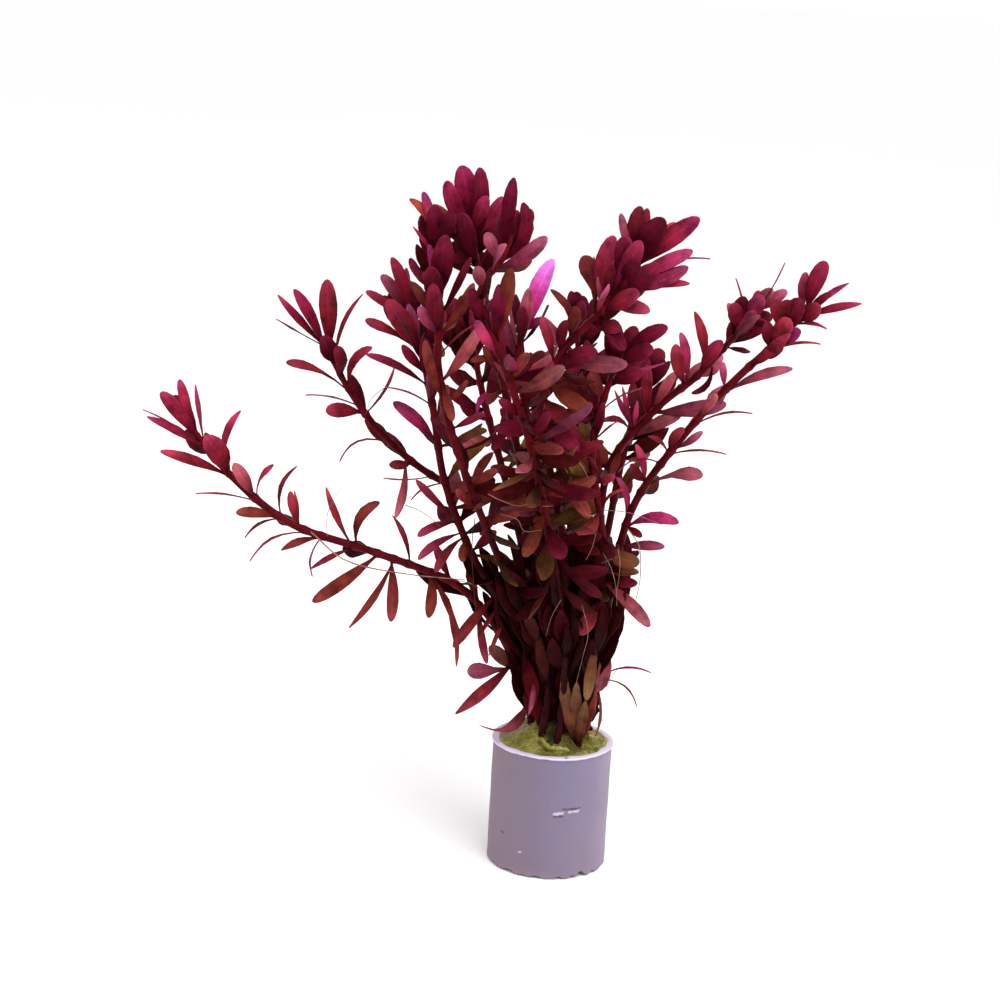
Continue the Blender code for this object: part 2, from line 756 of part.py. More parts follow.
# Leafy shoot: a six-sided stem grown ring by ring, leaves drawn out of its side faces
def leafy_shoot(name, route, whorls, parts, colour):
    rings = stem_rings(route, whorls)
    bm = bmesh.new()
    made = bmesh.ops.create_circle(bm, cap_ends=True, segments=STEM_SIDES, radius=1.0)
    cap = made["verts"][0].link_faces[0]
    set_ring(cap.verts, route, *rings[0])
    if cap.normal.dot(route.at(0.0)[1]) < 0:
        cap.normal_flip()
    loops = [list(cap.verts)]
    for distance, roll in rings[1:]:
        cap = grow_cap(bm, cap, keep=len(loops) == 1)
        ring = next_ring(loops[-1], cap)
        set_ring(ring, route, distance, roll)
        loops.append(ring)
    for whorl in whorls:
        high = find_ring(rings, whorl.distance + BAND / 2)
        for face, leaf in whorl.leaves.items():
            draw_leaf(bm, loops[high - 1], loops[high], face + whorl.offset, leaf)
    bmesh.ops.recalc_face_normals(bm, faces=bm.faces)
    for quad in [face for face in bm.faces if len(face.verts) == 4]:
        split_outward(quad)
    return add_object(name, bm, parts, make_material(name, colour, 0.45))


def stem_rings(route, whorls):
    rings = [(0.0, whorls[-1].roll if whorls else 0.0)]
    for whorl in reversed(whorls):
        start = rings[-1][0]
        gap = whorl.distance - BAND / 2 - start
        between = int(gap / LONGEST_STEP)
        turn = ((whorl.roll - rings[-1][1] + 30) % 60) - 30
        roll = rings[-1][1] + turn
        whorl.offset = round((whorl.roll - roll) / 60)
        for step in range(1, between + 1):
            share = step / (between + 1)
            rings.append((start + gap * share, rings[-1][1] + turn / (between + 1)))
        if gap > SHARED_GAP:
            rings.append((whorl.distance - BAND / 2, roll))
        rings.append((whorl.distance + BAND / 2, roll))
    rings.append((route.length, rings[-1][1]))
    return rings


def find_ring(rings, distance):
    return min(range(len(rings)), key=lambda i: abs(rings[i][0] - distance))


def set_ring(verts, route, distance, roll):
    middle, along = route.at(distance)
    radius = stem_radius(route, distance)
    for k, vert in enumerate(verts):
        vert.co = middle + across(along, roll - 30 + 60 * k) * radius


def next_ring(ring, cap):
    return [[edge.other_vert(vert) for edge in vert.link_edges if edge.other_vert(vert) in cap.verts][0]
            for vert in ring]


def draw_leaf(bm, low, high, face, leaf):
    k = face % 6
    corners = [low[k], low[(k + 1) % 6], high[(k + 1) % 6], high[k]]
    quarter = round(leaf.twist / 90)
    corners = [corners[(i - quarter) % 4] for i in range(4)]
    flat = [f for f in corners[0].link_faces if all(c in f.verts for c in corners)][0]
    for row in leaf.sections():
        flat = bmesh.ops.extrude_discrete_faces(bm, faces=[flat])["faces"][0]
        corners = [[edge.other_vert(c) for edge in c.link_edges if edge.other_vert(c) in flat.verts][0]
                   for c in corners]
        for corner, place in zip(corners, row if len(row) == 4 else row + row[::-1]):
            corner.co = place
    bmesh.ops.pointmerge(bm, verts=[corners[0], corners[3]], merge_co=row[0])
    bmesh.ops.pointmerge(bm, verts=[corners[1], corners[2]], merge_co=row[1])


# A bent quad is split along the diagonal that stands further out, so that no leaf is pinched
def split_outward(quad):
    a, b, c, d = quad.verts
    rise = (b.co + d.co - a.co - c.co).dot(quad.normal)
    if rise > 0:
        bmesh.utils.face_split(quad, b, d)
    else:
        bmesh.utils.face_split(quad, a, c)


def build():
    clear_scene()
    parts = bpy.data.collections.new("rotala")
    cutters = bpy.data.collections.new("cutters")
    bpy.context.scene.collection.children.link(parts)
    bpy.context.scene.collection.children.link(cutters)
    routes, plans = plan_shoots()
    ceramic_ring(parts, cutters)
    growing_wool(parts, cutters, routes)
    for name, shoot in SHOOTS.items():
        leafy_shoot(name, routes[name], plans[name], parts, shoot["colour"])


build()
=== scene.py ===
# Looks of a red rotala bunch in a ceramic planting ring. Lengths in the tables are millimetres.
import math
import random

import bpy
import numpy as np
from mathutils import Matrix, Vector
from mathutils.bvhtree import BVHTree


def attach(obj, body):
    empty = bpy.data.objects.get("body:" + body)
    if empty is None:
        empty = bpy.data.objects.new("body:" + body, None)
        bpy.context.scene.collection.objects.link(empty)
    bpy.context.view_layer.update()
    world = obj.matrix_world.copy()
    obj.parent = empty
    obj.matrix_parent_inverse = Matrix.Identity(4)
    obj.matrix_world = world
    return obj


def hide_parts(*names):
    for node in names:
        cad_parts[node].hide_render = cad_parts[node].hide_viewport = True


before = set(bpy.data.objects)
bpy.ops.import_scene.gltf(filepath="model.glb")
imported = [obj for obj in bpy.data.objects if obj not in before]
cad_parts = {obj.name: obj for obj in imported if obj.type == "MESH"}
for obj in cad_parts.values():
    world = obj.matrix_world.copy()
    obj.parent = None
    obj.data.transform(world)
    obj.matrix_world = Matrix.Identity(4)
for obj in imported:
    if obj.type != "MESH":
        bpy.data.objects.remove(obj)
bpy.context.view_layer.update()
bpy.ops.object.select_all(action="DESELECT")

MM = 0.001

# The eye of the picture: place in millimetres, turn in degrees, and the picture's scale in pixels
EYE = (0.0, -620.0, 254.0)
EYE_TURN = (1.8, -13.2, -3.2)
PICTURE_DISTANCE = 2210.0
PICTURE_MIDDLE = 500.0
PICTURE_WIDTH = 1000.0
FILM_WIDTH = 36.0

# Ceramic ring
RING_RADIUS = 17.6
RING_HEIGHT = 37.5
RING_WALL = 2.8
RING_SIDES = 144
LIP_WIDTH = 0.42
LIP_HEIGHT = 0.9
# Chips along the foot: bearing in degrees, width, height
CHIPS = [(-150, 4.0, 0.5), (-128, 5.0, 0.9), (-111, 2.6, 0.4), (-98, 3.4, 0.5), (-76, 2.2, 0.5),
         (-62, 3.2, 0.8), (-52, 3.4, 1.7), (-38, 3.0, 0.6), (-18, 5.0, 0.6), (10, 4.0, 0.5),
         (45, 5.0, 0.7), (82, 3.5, 0.5), (118, 5.0, 0.8), (160, 4.0, 0.6)]

# Growing wool
WOOL_GAP = 0.3
WOOL_EDGE = 36.2
WOOL_RISE = 8.6
WOOL_SPILL = 1.9
WOOL_MAT = 0.32
# The wool leaves the rim bare at the back left
BARE_RIM = (132.0, 34.0)
SOCKET_DEPTH = 3.4
WOOL_FIBRES = 1300

# Stems and leaves
STEM_RADIUS = 1.3
STEM_TIP_RADIUS = 0.75
YOUNG_STEM = 25.0
STRAIGHT_FOOT = 4.0
LEAF_THICKNESS = 0.34
# How far out in the stem a leaf is rooted, as a share of the stem's radius
ROOTED = 0.6
# How far down from its stem's tip a leaf is still in the crown, and where it is fully grown
CROWN = 16.0
GROWN_DOWN = 100.0
# Broad leaves of the crown are made this much wider than they read
BROADER = 1.16
# Room kept round a hidden leaf
CLEARANCE = 0.12
LIGHT = Vector((0.1, -0.85, 0.5))

# Feet of the stems on the wool in millimetres, and readings of their routes: pixels across and
# down, then the depth in millimetres
STEMS = {
    "far_left": ((-6, -2.5), [(528, 700, -4), (506, 645, -9), (480, 606, -13), (450, 581, -16),
                 (371, 551, -20), (290, 523, -22), (227, 472, -21), (193, 429, -19)]),
    "left": ((-4.5, 3), [(545, 690, 6), (542, 570, 14), (530, 526, 16), (508, 502, 16),
             (440, 480, 12), (384, 436, 5), (348, 388, 2), (320, 334, 0)]),
    "left_inner": ((-1.5, -4.5), [(540, 690, -4), (520, 640, -9), (494, 592, -14), (470, 550, -17),
                   (444, 479, -17), (433, 408, -14), (418, 338, -10), (407, 308, -8)]),
    "top_left": ((-3.5, -9), [(548, 690, -8), (532, 630, -16), (508, 580, -23), (456, 447, -34),
                 (438, 365, -33), (440, 316, -31), (436, 240, -28)]),
    "top": ((-0.5, 1), [(556, 690, 2), (552, 620, 0), (524, 480, -7), (496, 350, -14),
            (477, 262, -17), (470, 228, -18)]),
    "top_bent": ((1.2, -9.5), [(564, 690, -11), (562, 620, -22), (534, 460, -40), (504, 365, -47),
                 (479, 302, -50), (487, 278, -50), (503, 258, -49), (512, 234, -48)]),
    "centre": ((3.5, 3), [(566, 690, 4), (564, 620, 7), (556, 550, 10), (528, 420, 10),
               (519, 360, 8), (524, 322, 7)]),
    "centre_right": ((3.2, -4.5), [(572, 690, -5), (576, 620, -11), (554, 490, -23),
                     (540, 410, -27), (562, 352, -31), (603, 309, -34), (636, 262, -34)]),
    "right_inner": ((7, -8.5), [(588, 696, -9), (596, 640, -16), (602, 580, -21), (602, 531, -24),
                    (592, 450, -26), (611, 378, -25), (625, 350, -24)]),
    "right": ((8, 2.5), [(584, 690, 4), (592, 620, 8), (602, 500, 13), (613, 458, 14),
              (659, 406, 11), (700, 373, 8), (760, 308, 4)]),
    "far_right": ((8, -3), [(594, 700, -3), (604, 640, -7), (612, 580, -10), (634, 505, -14),
                  (680, 440, -17), (727, 388, -18), (775, 343, -17), (810, 308, -16)]),
    "back_left": ((-2.5, 8), [(549, 684, 12), (536, 610, 23), (518, 530, 32), (500, 460, 38),
                  (484, 400, 42), (468, 322, 45)]),
    "back_centre": ((2.2, 8.5), [(564, 684, 13), (566, 610, 27), (570, 530, 38), (576, 460, 45),
                    (580, 400, 49), (576, 318, 52)]),
    "back_right": ((7, 8), [(578, 684, 12), (592, 610, 23), (608, 530, 33), (622, 460, 40),
                   (646, 372, 45)]),
}

# Leaves that can be told apart, read one by one: root and tip in pixels, width in millimetres,
# turn of the blade away from the viewer in degrees, bow to its left and reach to the back in
# millimetres, then a letter for its shape (b broad, l lance, s spoon, t tailed, w withered) and
# one for its hue (m magenta, M bright magenta with painted light shining through it, p pale pink
# partly painted light where lit, v dusky, d dark and k darkest, their own dark red deepened with
# painted shade of the bunch, o brown, g olive, r orange, w withered). Without a hue, a leaf has
# that of its age, or of its withering
SEEN = {
    "far_left": [
        (199, 440, 160, 391, 3.8, 10, -0.6, 2, "b"), (199, 427, 180, 378, 2.6, 15, 0.6, 5, "b"),
        (196, 436, 173, 396, 4.2, 20, 0, 8, "bd"), (203, 449, 147, 415, 3.0, 30, -0.3, -2, "l"),
        (200, 444, 145, 405, 2.4, 84, 0, 0, "l"), (205, 440, 197, 384, 3.0, 62, 0.4, 6, "lm"),
        (226, 474, 206, 437, 5.4, 8, -0.6, -8, "b"), (226, 475, 160, 451, 2.9, 25, -0.8, -2, "b"),
        (227, 463, 238, 409, 2.7, 40, 1.6, 0, "b"), (252, 498, 233, 463, 4.0, 15, 0, -6, "bp"),
        (252, 502, 195, 493, 3.0, 82, -0.7, 0, "l"), (254, 499, 274, 465, 2.2, 40, 1.5, 2, "s"),
        (280, 516, 297, 465, 2.3, 55, 2.2, 3, "l"), (300, 524, 290, 491, 2.6, 20, 0.6, 0, "b"),
        (300, 524, 295, 490, 1.6, 40, 0, 3, "l"), (275, 520, 236, 513, 3.2, 10, -0.8, -3, "bo"),
        (276, 521, 246, 539, 1.9, 60, -1.5, -2, "l"), (303, 532, 249, 562, 2.6, 80, -2.6, -3, "l"),
        (318, 539, 281, 550, 2.4, 15, -0.8, -4, "lo"), (350, 541, 327, 486, 2.6, 35, 0.8, 4, "l"),
        (355, 545, 380, 502, 3.2, 20, 2.6, 4, "bo"), (352, 549, 311, 570, 2.3, 40, -0.6, -3, "l"),
        (319, 543, 312, 577, 2.2, 84, -1.5, -2, "l"), (376, 555, 311, 602, 3.9, 8, 0.5, -6, "bo"),
        (394, 560, 348, 628, 2.4, 25, 1.2, -7, "lo"), (392, 560, 391, 622, 3.5, 10, 0.5, -5, "bo"),
        (430, 570, 428, 618, 3.4, 10, 1.0, -6, "bo"), (432, 572, 457, 668, 2.6, 25, 2.6, -8, "wo"),
        (409, 561, 393, 514, 1.9, 30, -1.0, 2, "l"), (528, 704, 477, 724, 3.3, 12, 4.4, -9, "tv"),
        (514, 667, 467, 671, 4.9, 12, 0.4, -5, "sv"), (509, 664, 454, 713, 3.8, 12, 0.8, -10, "l"),
        (481, 606, 487, 664, 2.5, 15, -0.5, -5, "b"), (514, 668, 489, 646, 4.2, 12, 0, -3, "bw"),
        (450, 582, 436, 545, 3.0, 25, 0.5, 5, "b"), (478, 604, 470, 562, 3.2, 20, 0.6, 4, "bo"),
        (505, 645, 503, 612, 3.4, 25, 0, 5, "bd"),
    ],
    "left": [
        (319, 349, 277, 293, 2.6, 20, 0.3, 2, "l"), (323, 346, 294, 289, 3.2, 20, -0.4, -3, "b"),
        (326, 352, 327, 280, 4.6, 8, 0, -2, "b"), (337, 357, 361, 292, 2.4, 55, 1.3, 3, "l"),
        (316, 350, 277, 317, 2.4, 82, 0.3, 5, "l"), (331, 364, 323, 337, 4.4, 10, 0, -9, "bd"),
        (346, 390, 285, 361, 2.8, 15, -1.6, 0, "s"), (350, 384, 372, 346, 2.9, 20, 2.2, 2, "b"),
        (352, 409, 305, 392, 2.4, 80, -0.6, 4, "l"), (360, 413, 327, 411, 4.4, 5, -0.5, -9, "b"),
        (384, 444, 336, 460, 2.6, 84, -3.0, -2, "l"), (366, 413, 397, 363, 2.4, 65, -1.0, 4, "l"),
        (414, 459, 389, 465, 3.2, 20, 0.3, -6, "b"), (430, 475, 383, 477, 2.4, 82, 0.8, 0, "l"),
        (440, 484, 410, 500, 2.2, 80, -1.0, -3, "l"), (406, 458, 395, 518, 2.8, 30, 1.0, -4, "bp"),
        (470, 490, 492, 452, 3.0, 20, 0.6, -4, "bo"), (500, 500, 480, 535, 3.2, 20, 0.5, -6, "bo"),
    ],
    "left_inner": [
        (516, 652, 535, 706, 4.8, 10, 0.4, 1, "lk"), (524, 684, 541, 727, 4.4, 10, 0, 1, "lk"),
        (520, 668, 531, 722, 4.0, 10, 0, 2, "lk"), (417, 312, 392, 257, 3.2, 12, -0.6, -2, "b"),
        (419, 302, 407, 267, 1.9, 30, 0, 3, "b"), (409, 312, 381, 275, 3.4, 20, -0.5, 2, "bp"),
        (410, 320, 366, 289, 2.6, 25, 0, 0, "b"), (421, 350, 388, 300, 5.0, 10, 0, -6, "b"),
        (417, 352, 365, 320, 2.8, 20, -1.0, 0, "s"), (420, 386, 366, 354, 2.6, 25, -1.0, -2, "b"),
        (424, 404, 385, 388, 2.2, 80, -1.0, 3, "l"), (440, 441, 393, 402, 3.8, 12, -0.8, -4, "bm"),
        (447, 481, 487, 440, 3.4, 12, 0.8, -3, "bg"), (449, 521, 417, 478, 2.6, 30, 0.5, 3, "b"),
        (453, 523, 417, 536, 2.8, 25, -0.8, -4, "b"), (457, 535, 418, 560, 2.8, 30, -1.0, -4, "bm"),
        (459, 540, 435, 572, 2.8, 20, -1.0, -5, "b"), (473, 556, 530, 575, 3.5, 15, 0.8, -4, "bg"),
        (493, 622, 489, 656, 1.8, 40, 0, -3, "l"), (485, 612, 478, 637, 1.7, 30, 0, -3, "l"),
        (503, 592, 454, 648, 3.4, 12, -0.6, -6, "b"), (522, 657, 500, 626, 5.2, 10, 0, -3, "bd"),
        (536, 672, 529, 715, 1.8, 20, 0.6, -6, "lv"), (470, 552, 496, 531, 3.2, 15, 0, -5, "bd"),
        (436, 420, 448, 385, 3.0, 25, 0, 4, "bo"), (428, 372, 402, 345, 3.2, 20, 0, 3, "b"),
        (465, 540, 462, 562, 3.0, 20, 0, -6, "bo"), (452, 500, 476, 478, 3.4, 20, 0.5, -5, "bo"),
    ],
    "top_left": [
        (438, 228, 409, 197, 2.3, 15, -1.9, 4, "br"), (443, 228, 425, 190, 2.9, 25, 0, 5, "bm"),
        (433, 258, 413, 226, 1.5, 30, -0.3, -2, "l"), (440, 297, 447, 237, 5.4, 10, 0.5, -9, "bd"),
        (434, 285, 431, 245, 2.8, 35, 0.5, -2, "bm"), (437, 292, 424, 272, 2.6, 30, 0, -4, "b"),
        (443, 312, 470, 256, 2.6, 30, -0.5, 3, "bd"), (442, 332, 475, 283, 3.3, 12, -0.8, -3, "bo"),
        (443, 354, 476, 321, 1.8, 70, 0.5, 4, "l"), (446, 380, 483, 325, 3.8, 12, -0.6, -3, "bp"),
        (447, 402, 466, 380, 2.2, 30, -0.5, -2, "bo"), (441, 386, 453, 420, 2.9, 20, 0, -6, "bo"),
        (452, 443, 487, 430, 2.8, 25, 0.5, 2, "bg"), (452, 428, 485, 414, 2.6, 30, 0, 3, "b"),
        (438, 397, 424, 340, 3.2, 15, 0.6, -4, "bo"), (438, 327, 412, 282, 2.9, 15, -0.5, 3, "bo"),
        (441, 334, 418, 307, 3.6, 15, 0, -5, "bp"), (437, 250, 436, 205, 4.4, 15, 0.4, -2, "bd"),
        (437, 245, 452, 212, 4.2, 15, -0.4, -5, "bd"), (470, 485, 498, 470, 3.0, 25, 0, -4, "bo"),
        (485, 525, 520, 512, 3.4, 25, 0.5, -4, "bo"), (478, 505, 455, 490, 3.0, 30, 0, -5, "b"),
    ],
    "top": [
        (471, 240, 461, 166, 5.8, 5, -0.5, 2, "b"), (474, 246, 480, 167, 4.2, 12, -0.8, -2, "bd"),
        (468, 238, 446, 180, 4.0, 10, 0.6, -4, "b"), (478, 252, 503, 194, 3.6, 15, 0.5, 4, "b"),
        (464, 238, 431, 205, 3.6, 20, 0.4, -6, "bo"), (474, 254, 495, 228, 3.4, 20, 0, -8, "bd"),
        (476, 264, 456, 236, 5.0, 10, 0, -3, "bk"), (474, 258, 448, 246, 4.6, 10, 0, -1, "bk"),
        (474, 262, 462, 212, 4.6, 8, 0.5, -9, "bd"), (470, 236, 471, 190, 4.0, 20, 0, 8, "bd"),
        (472, 262, 440, 248, 3.6, 20, 0.6, -5, "bd"), (476, 268, 455, 225, 4.2, 25, 0, 6, "bd"),
        (477, 270, 500, 245, 3.8, 20, 0, 5, "bd"), (470, 232, 486, 196, 4.0, 30, 0, -5, "b"),
        (505, 390, 487, 405, 2.4, 25, -0.5, -3, "bo"), (500, 372, 484, 346, 2.6, 20, 0, -2, "bo"),
        (496, 360, 470, 361, 2.2, 25, -0.8, -2, "bo"), (508, 398, 476, 414, 2.6, 40, -3.0, 0, "bm"),
        (524, 478, 490, 468, 3.2, 15, -0.6, -5, "bo"), (512, 425, 492, 450, 3.0, 20, 0, -4, "bd"),
    ],
    "top_bent": [
        (510, 252, 515, 178, 3.3, 10, 0.4, 0, "bd"), (506, 272, 522, 202, 3.5, 15, -4.0, 3, "bd"),
        (500, 268, 545, 236, 3.7, 12, -1.5, -2, "bp"), (500, 340, 511, 268, 4.6, 12, 0, -4, "bo"),
        (494, 338, 500, 284, 4.0, 20, 0, -3, "bd"), (486, 322, 472, 288, 3.5, 15, 0.6, -3, "bd"),
        (498, 352, 476, 320, 3.2, 20, 0.4, -4, "bm"), (488, 290, 478, 266, 3.6, 10, 0, -5, "bp"),
        (500, 262, 487, 232, 3.2, 20, 0, 2, "bp"), (505, 258, 506, 205, 3.0, 30, 0.3, 4, "bd"),
        (484, 316, 500, 296, 2.6, 20, 0.4, 3, "bp"), (510, 380, 528, 352, 3.2, 20, 0, 3, "bo"),
        (520, 415, 500, 400, 3.0, 20, 0, -4, "bd"), (528, 440, 550, 412, 3.4, 15, 0, -3, "bd"),
    ],
    "centre": [
        (526, 337, 553, 259, 4.8, 12, 0.8, -2, "bM"), (523, 345, 530, 288, 3.6, 20, 0, -3, "bp"),
        (519, 358, 498, 302, 3.4, 15, 0.5, -2, "bp"), (524, 330, 541, 318, 2.2, 20, 0, -3, "bm"),
        (520, 372, 545, 352, 3.4, 20, 0, -4, "bo"), (522, 390, 500, 380, 3.2, 25, 0, -3, "bo"),
        (530, 430, 537, 462, 3.6, 20, 0, -6, "bo"), (527, 412, 508, 440, 3.4, 20, 0, -5, "b"),
    ],
    "centre_right": [
        (637, 252, 621, 213, 2.3, 25, 0.3, 2, "bp"), (639, 258, 640, 206, 4.4, 10, 0.3, 0, "bd"),
        (641, 258, 648, 209, 3.0, 20, -0.3, 5, "b"), (640, 266, 664, 219, 5.6, 8, 0.5, -3, "bd"),
        (640, 264, 677, 221, 3.6, 15, -0.4, 3, "b"), (638, 270, 700, 218, 4.6, 10, 0.4, -2, "b"),
        (636, 274, 711, 254, 2.4, 80, 0.8, 2, "l"), (632, 280, 692, 249, 3.6, 18, -0.5, -4, "bm"),
        (624, 292, 690, 284, 2.2, 15, 0.8, -3, "b"), (626, 290, 688, 266, 3.8, 15, -1.5, -4, "bm"),
        (612, 306, 650, 312, 3.6, 20, 0.5, -5, "bm"), (609, 310, 615, 236, 4.6, 12, 1.5, -2, "b"),
        (618, 298, 631, 238, 3.8, 20, 0.5, -4, "bm"), (596, 314, 583, 256, 5.2, 8, -1.2, -2, "so"),
        (600, 311, 593, 256, 1.6, 75, -0.5, 3, "l"), (602, 308, 601, 270, 2.4, 40, 0.3, -2, "bp"),
        (580, 333, 551, 287, 2.3, 25, -1.0, 2, "bo"), (574, 340, 577, 306, 3.8, 12, 0, -4, "bo"),
        (562, 352, 566, 320, 3.4, 20, 0.4, -4, "bd"), (555, 362, 541, 317, 3.0, 20, -0.3, -2, "b"),
        (560, 360, 598, 343, 2.2, 50, -1.0, -3, "bd"), (553, 372, 596, 351, 5.0, 10, 1.0, -7, "bd"),
        (550, 382, 588, 408, 4.8, 10, -0.8, -9, "bo"), (590, 320, 622, 330, 4.0, 20, 0, -5, "bd"),
        (598, 314, 625, 350, 4.4, 15, 0, -6, "bd"), (546, 400, 572, 425, 5.0, 15, 0, -7, "b"),
        (545, 420, 580, 450, 4.6, 15, 0, -7, "bd"), (552, 480, 588, 512, 3.6, 15, 0.6, -6, "bd"),
        (558, 512, 553, 480, 5.0, 5, 0, -9, "bd"), (548, 460, 498, 492, 3.6, 20, 0.6, -6, "bo"),
        (622, 286, 640, 262, 4.6, 15, 0, -8, "bd"), (618, 300, 642, 240, 4.6, 10, 0, -7, "b"),
        (612, 306, 660, 264, 4.8, 10, 0, -6, "bd"), (606, 312, 640, 292, 4.4, 12, 0, -6, "b"),
        (628, 282, 622, 236, 4.2, 15, 0, -5, "bd"), (548, 462, 604, 441, 3.6, 12, -0.5, -9, "bd"),
        (549, 474, 590, 519, 4.0, 12, 0.6, -8, "bo"), (550, 432, 592, 404, 5.0, 10, 0, -7, "b"),
    ],
    "right_inner": [
        (622, 352, 668, 327, 3.9, 12, 0.8, -2, "bd"), (618, 362, 653, 348, 4.2, 10, 0.6, -4, "bd"),
        (616, 372, 665, 364, 2.2, 70, -0.6, 0, "lm"), (611, 384, 641, 372, 4.4, 10, 0.4, -5, "bd"),
        (618, 358, 612, 320, 4.4, 10, 0, -5, "bd"), (600, 409, 643, 389, 1.8, 80, 1.0, -2, "l"),
        (597, 440, 617, 419, 1.7, 70, 0, 2, "l"), (598, 512, 624, 490, 1.8, 60, 1.5, 0, "l"),
        (598, 482, 614, 476, 2.6, 20, 0, -5, "b"), (594, 470, 570, 464, 4.6, 10, 0.5, -5, "bg"),
        (600, 516, 572, 470, 4.6, 10, 0.5, -5, "bg"), (602, 582, 650, 627, 3.9, 8, 0.6, -5, "bv"),
        (603, 545, 640, 562, 5.0, 12, -1.5, -5, "bg"), (602, 572, 638, 571, 2.8, 20, 0, -4, "bg"),
        (602, 580, 638, 584, 3.2, 20, 0, -3, "bd"), (590, 452, 562, 440, 4.4, 15, 0, -5, "bd"),
        (592, 440, 604, 402, 3.2, 30, 0, -3, "bd"), (602, 600, 580, 635, 4.6, 10, 0, -6, "b"),
        (605, 398, 590, 372, 4.2, 20, 0, -4, "bo"), (600, 640, 586, 700, 3.4, 20, 0, -5, "bw"),
        (582, 743, 563, 668, 3.8, 12, 0.8, -5, "w"), (583, 744, 577, 680, 4.2, 8, 0.2, -6, "ww"),
        (584, 742, 592, 690, 4.0, 12, -0.6, -5, "wo"), (583, 745, 586, 700, 3.6, 10, 0, -7, "ww"),
    ],
    "right": [
        (737, 338, 745, 296, 4.2, 10, 0.3, -3, "bd"), (755, 316, 758, 290, 2.6, 20, -0.3, 2, "b"),
        (740, 330, 728, 303, 2.2, 25, 0, 2, "bp"), (748, 322, 738, 277, 1.6, 70, 0, 2, "l"),
        (757, 316, 773, 289, 3.2, 15, 0.5, -1, "bp"), (759, 311, 787, 290, 3.2, 15, 0, 2, "bp"),
        (760, 308, 785, 262, 1.4, 80, -0.6, 0, "l"), (738, 342, 757, 312, 4.0, 20, 0, -6, "bm"),
        (702, 370, 722, 341, 4.2, 12, 0.5, -6, "b"), (701, 361, 695, 310, 3.2, 12, -0.8, 2, "l"),
        (688, 382, 682, 331, 3.0, 15, -0.6, 3, "bm"), (686, 386, 676, 345, 4.2, 12, 0.5, -5, "b"),
        (655, 408, 674, 372, 3.2, 15, 0, -3, "bp"), (648, 414, 648, 364, 3.6, 10, 0.3, -3, "b"),
        (713, 365, 690, 392, 2.4, 40, 2.4, 3, "bd"), (636, 440, 682, 414, 3.9, 12, 0.5, -3, "bv"),
        (656, 412, 727, 404, 4.9, 10, -0.3, -5, "bv"), (612, 466, 597, 447, 4.4, 12, 0, -5, "bo"),
        (630, 428, 622, 386, 1.7, 20, 0, -4, "lm"), (632, 426, 637, 400, 1.8, 20, 0, -4, "lm"),
        (629, 430, 601, 420, 2.4, 40, -2.0, -2, "b"), (631, 428, 614, 390, 2.0, 30, 0, -2, "lm"),
        (620, 448, 612, 474, 3.0, 30, 0, -4, "bo"), (752, 320, 772, 318, 4.0, 20, 0, -6, "bd"),
        (726, 347, 750, 352, 2.2, 40, 0, 2, "bd"), (604, 500, 586, 480, 3.2, 30, 0, -4, "bo"),
        (597, 560, 622, 552, 3.4, 20, 0, -4, "bo"), (593, 610, 610, 590, 3.0, 30, 0, 4, "bo"),
        (748, 322, 762, 296, 4.4, 10, 0, -5, "bm"), (742, 332, 733, 303, 4.0, 10, 0, -5, "b"),
        (745, 330, 768, 326, 4.2, 10, 0, -7, "b"), (728, 346, 740, 318, 3.8, 15, 0, 4, "b"),
    ],
    "far_right": [
        (811, 314, 826, 260, 4.2, 10, 0.4, 0, "b"), (808, 318, 806, 272, 2.8, 25, 0.3, 3, "bm"),
        (808, 315, 830, 292, 2.4, 30, 0, -3, "bd"), (811, 312, 849, 281, 2.0, 25, 0.3, 0, "lm"),
        (806, 318, 862, 304, 2.7, 25, 0.4, -2, "l"), (798, 326, 828, 327, 1.8, 50, 0.6, -4, "l"),
        (780, 339, 802, 299, 5.4, 10, 0.3, -3, "bd"), (768, 350, 822, 341, 2.2, 65, 1.0, 2, "l"),
        (728, 390, 793, 369, 3.0, 15, 1.2, -3, "bp"), (751, 368, 790, 333, 3.6, 25, -0.5, -5, "b"),
        (727, 390, 723, 362, 2.2, 20, 0, -3, "bp"), (697, 423, 753, 414, 2.6, 75, 1.5, 3, "l"),
        (700, 417, 717, 394, 3.0, 20, 0, -5, "bp"), (670, 452, 684, 428, 3.0, 20, 1.0, -4, "b"),
        (676, 447, 702, 431, 2.4, 25, -0.4, -2, "bp"), (672, 454, 726, 456, 2.2, 70, 1.2, -3, "l"),
        (650, 483, 703, 476, 4.2, 10, 1.5, -3, "sv"), (628, 526, 679, 523, 3.6, 12, 2.0, -4, "bm"),
        (620, 545, 665, 547, 3.0, 10, 0.3, -5, "bv"), (646, 483, 636, 444, 2.7, 25, -0.8, 2, "bm"),
        (648, 482, 630, 464, 3.4, 15, 0.5, -6, "bd"), (660, 464, 615, 470, 1.8, 78, -2.0, 2, "l"),
        (668, 453, 648, 436, 2.0, 45, -1.0, -2, "l"), (628, 520, 618, 477, 2.2, 25, -1.6, -2, "bm"),
        (627, 525, 642, 537, 2.4, 20, 0, -4, "bd"), (604, 637, 597, 694, 4.3, 10, 1.2, -4, "bv"),
        (599, 676, 652, 672, 1.4, 60, 2.0, -3, "lm"), (599, 678, 637, 707, 1.4, 70, 2.6, -4, "l"),
        (597, 686, 598, 738, 2.0, 60, 0.8, -4, "lo"), (801, 320, 783, 302, 3.6, 20, 0, -5, "bd"),
        (790, 332, 812, 305, 3.2, 20, 0, 4, "bm"), (771, 348, 768, 322, 3.4, 25, 0, -4, "bd"),
        (770, 348, 790, 319, 4.8, 10, 0, -6, "b"), (790, 332, 773, 300, 4.4, 12, 0, -6, "bd"),
        (760, 356, 783, 346, 4.0, 10, 0, -7, "bd"), (800, 322, 821, 306, 4.2, 10, 0, -5, "b"),
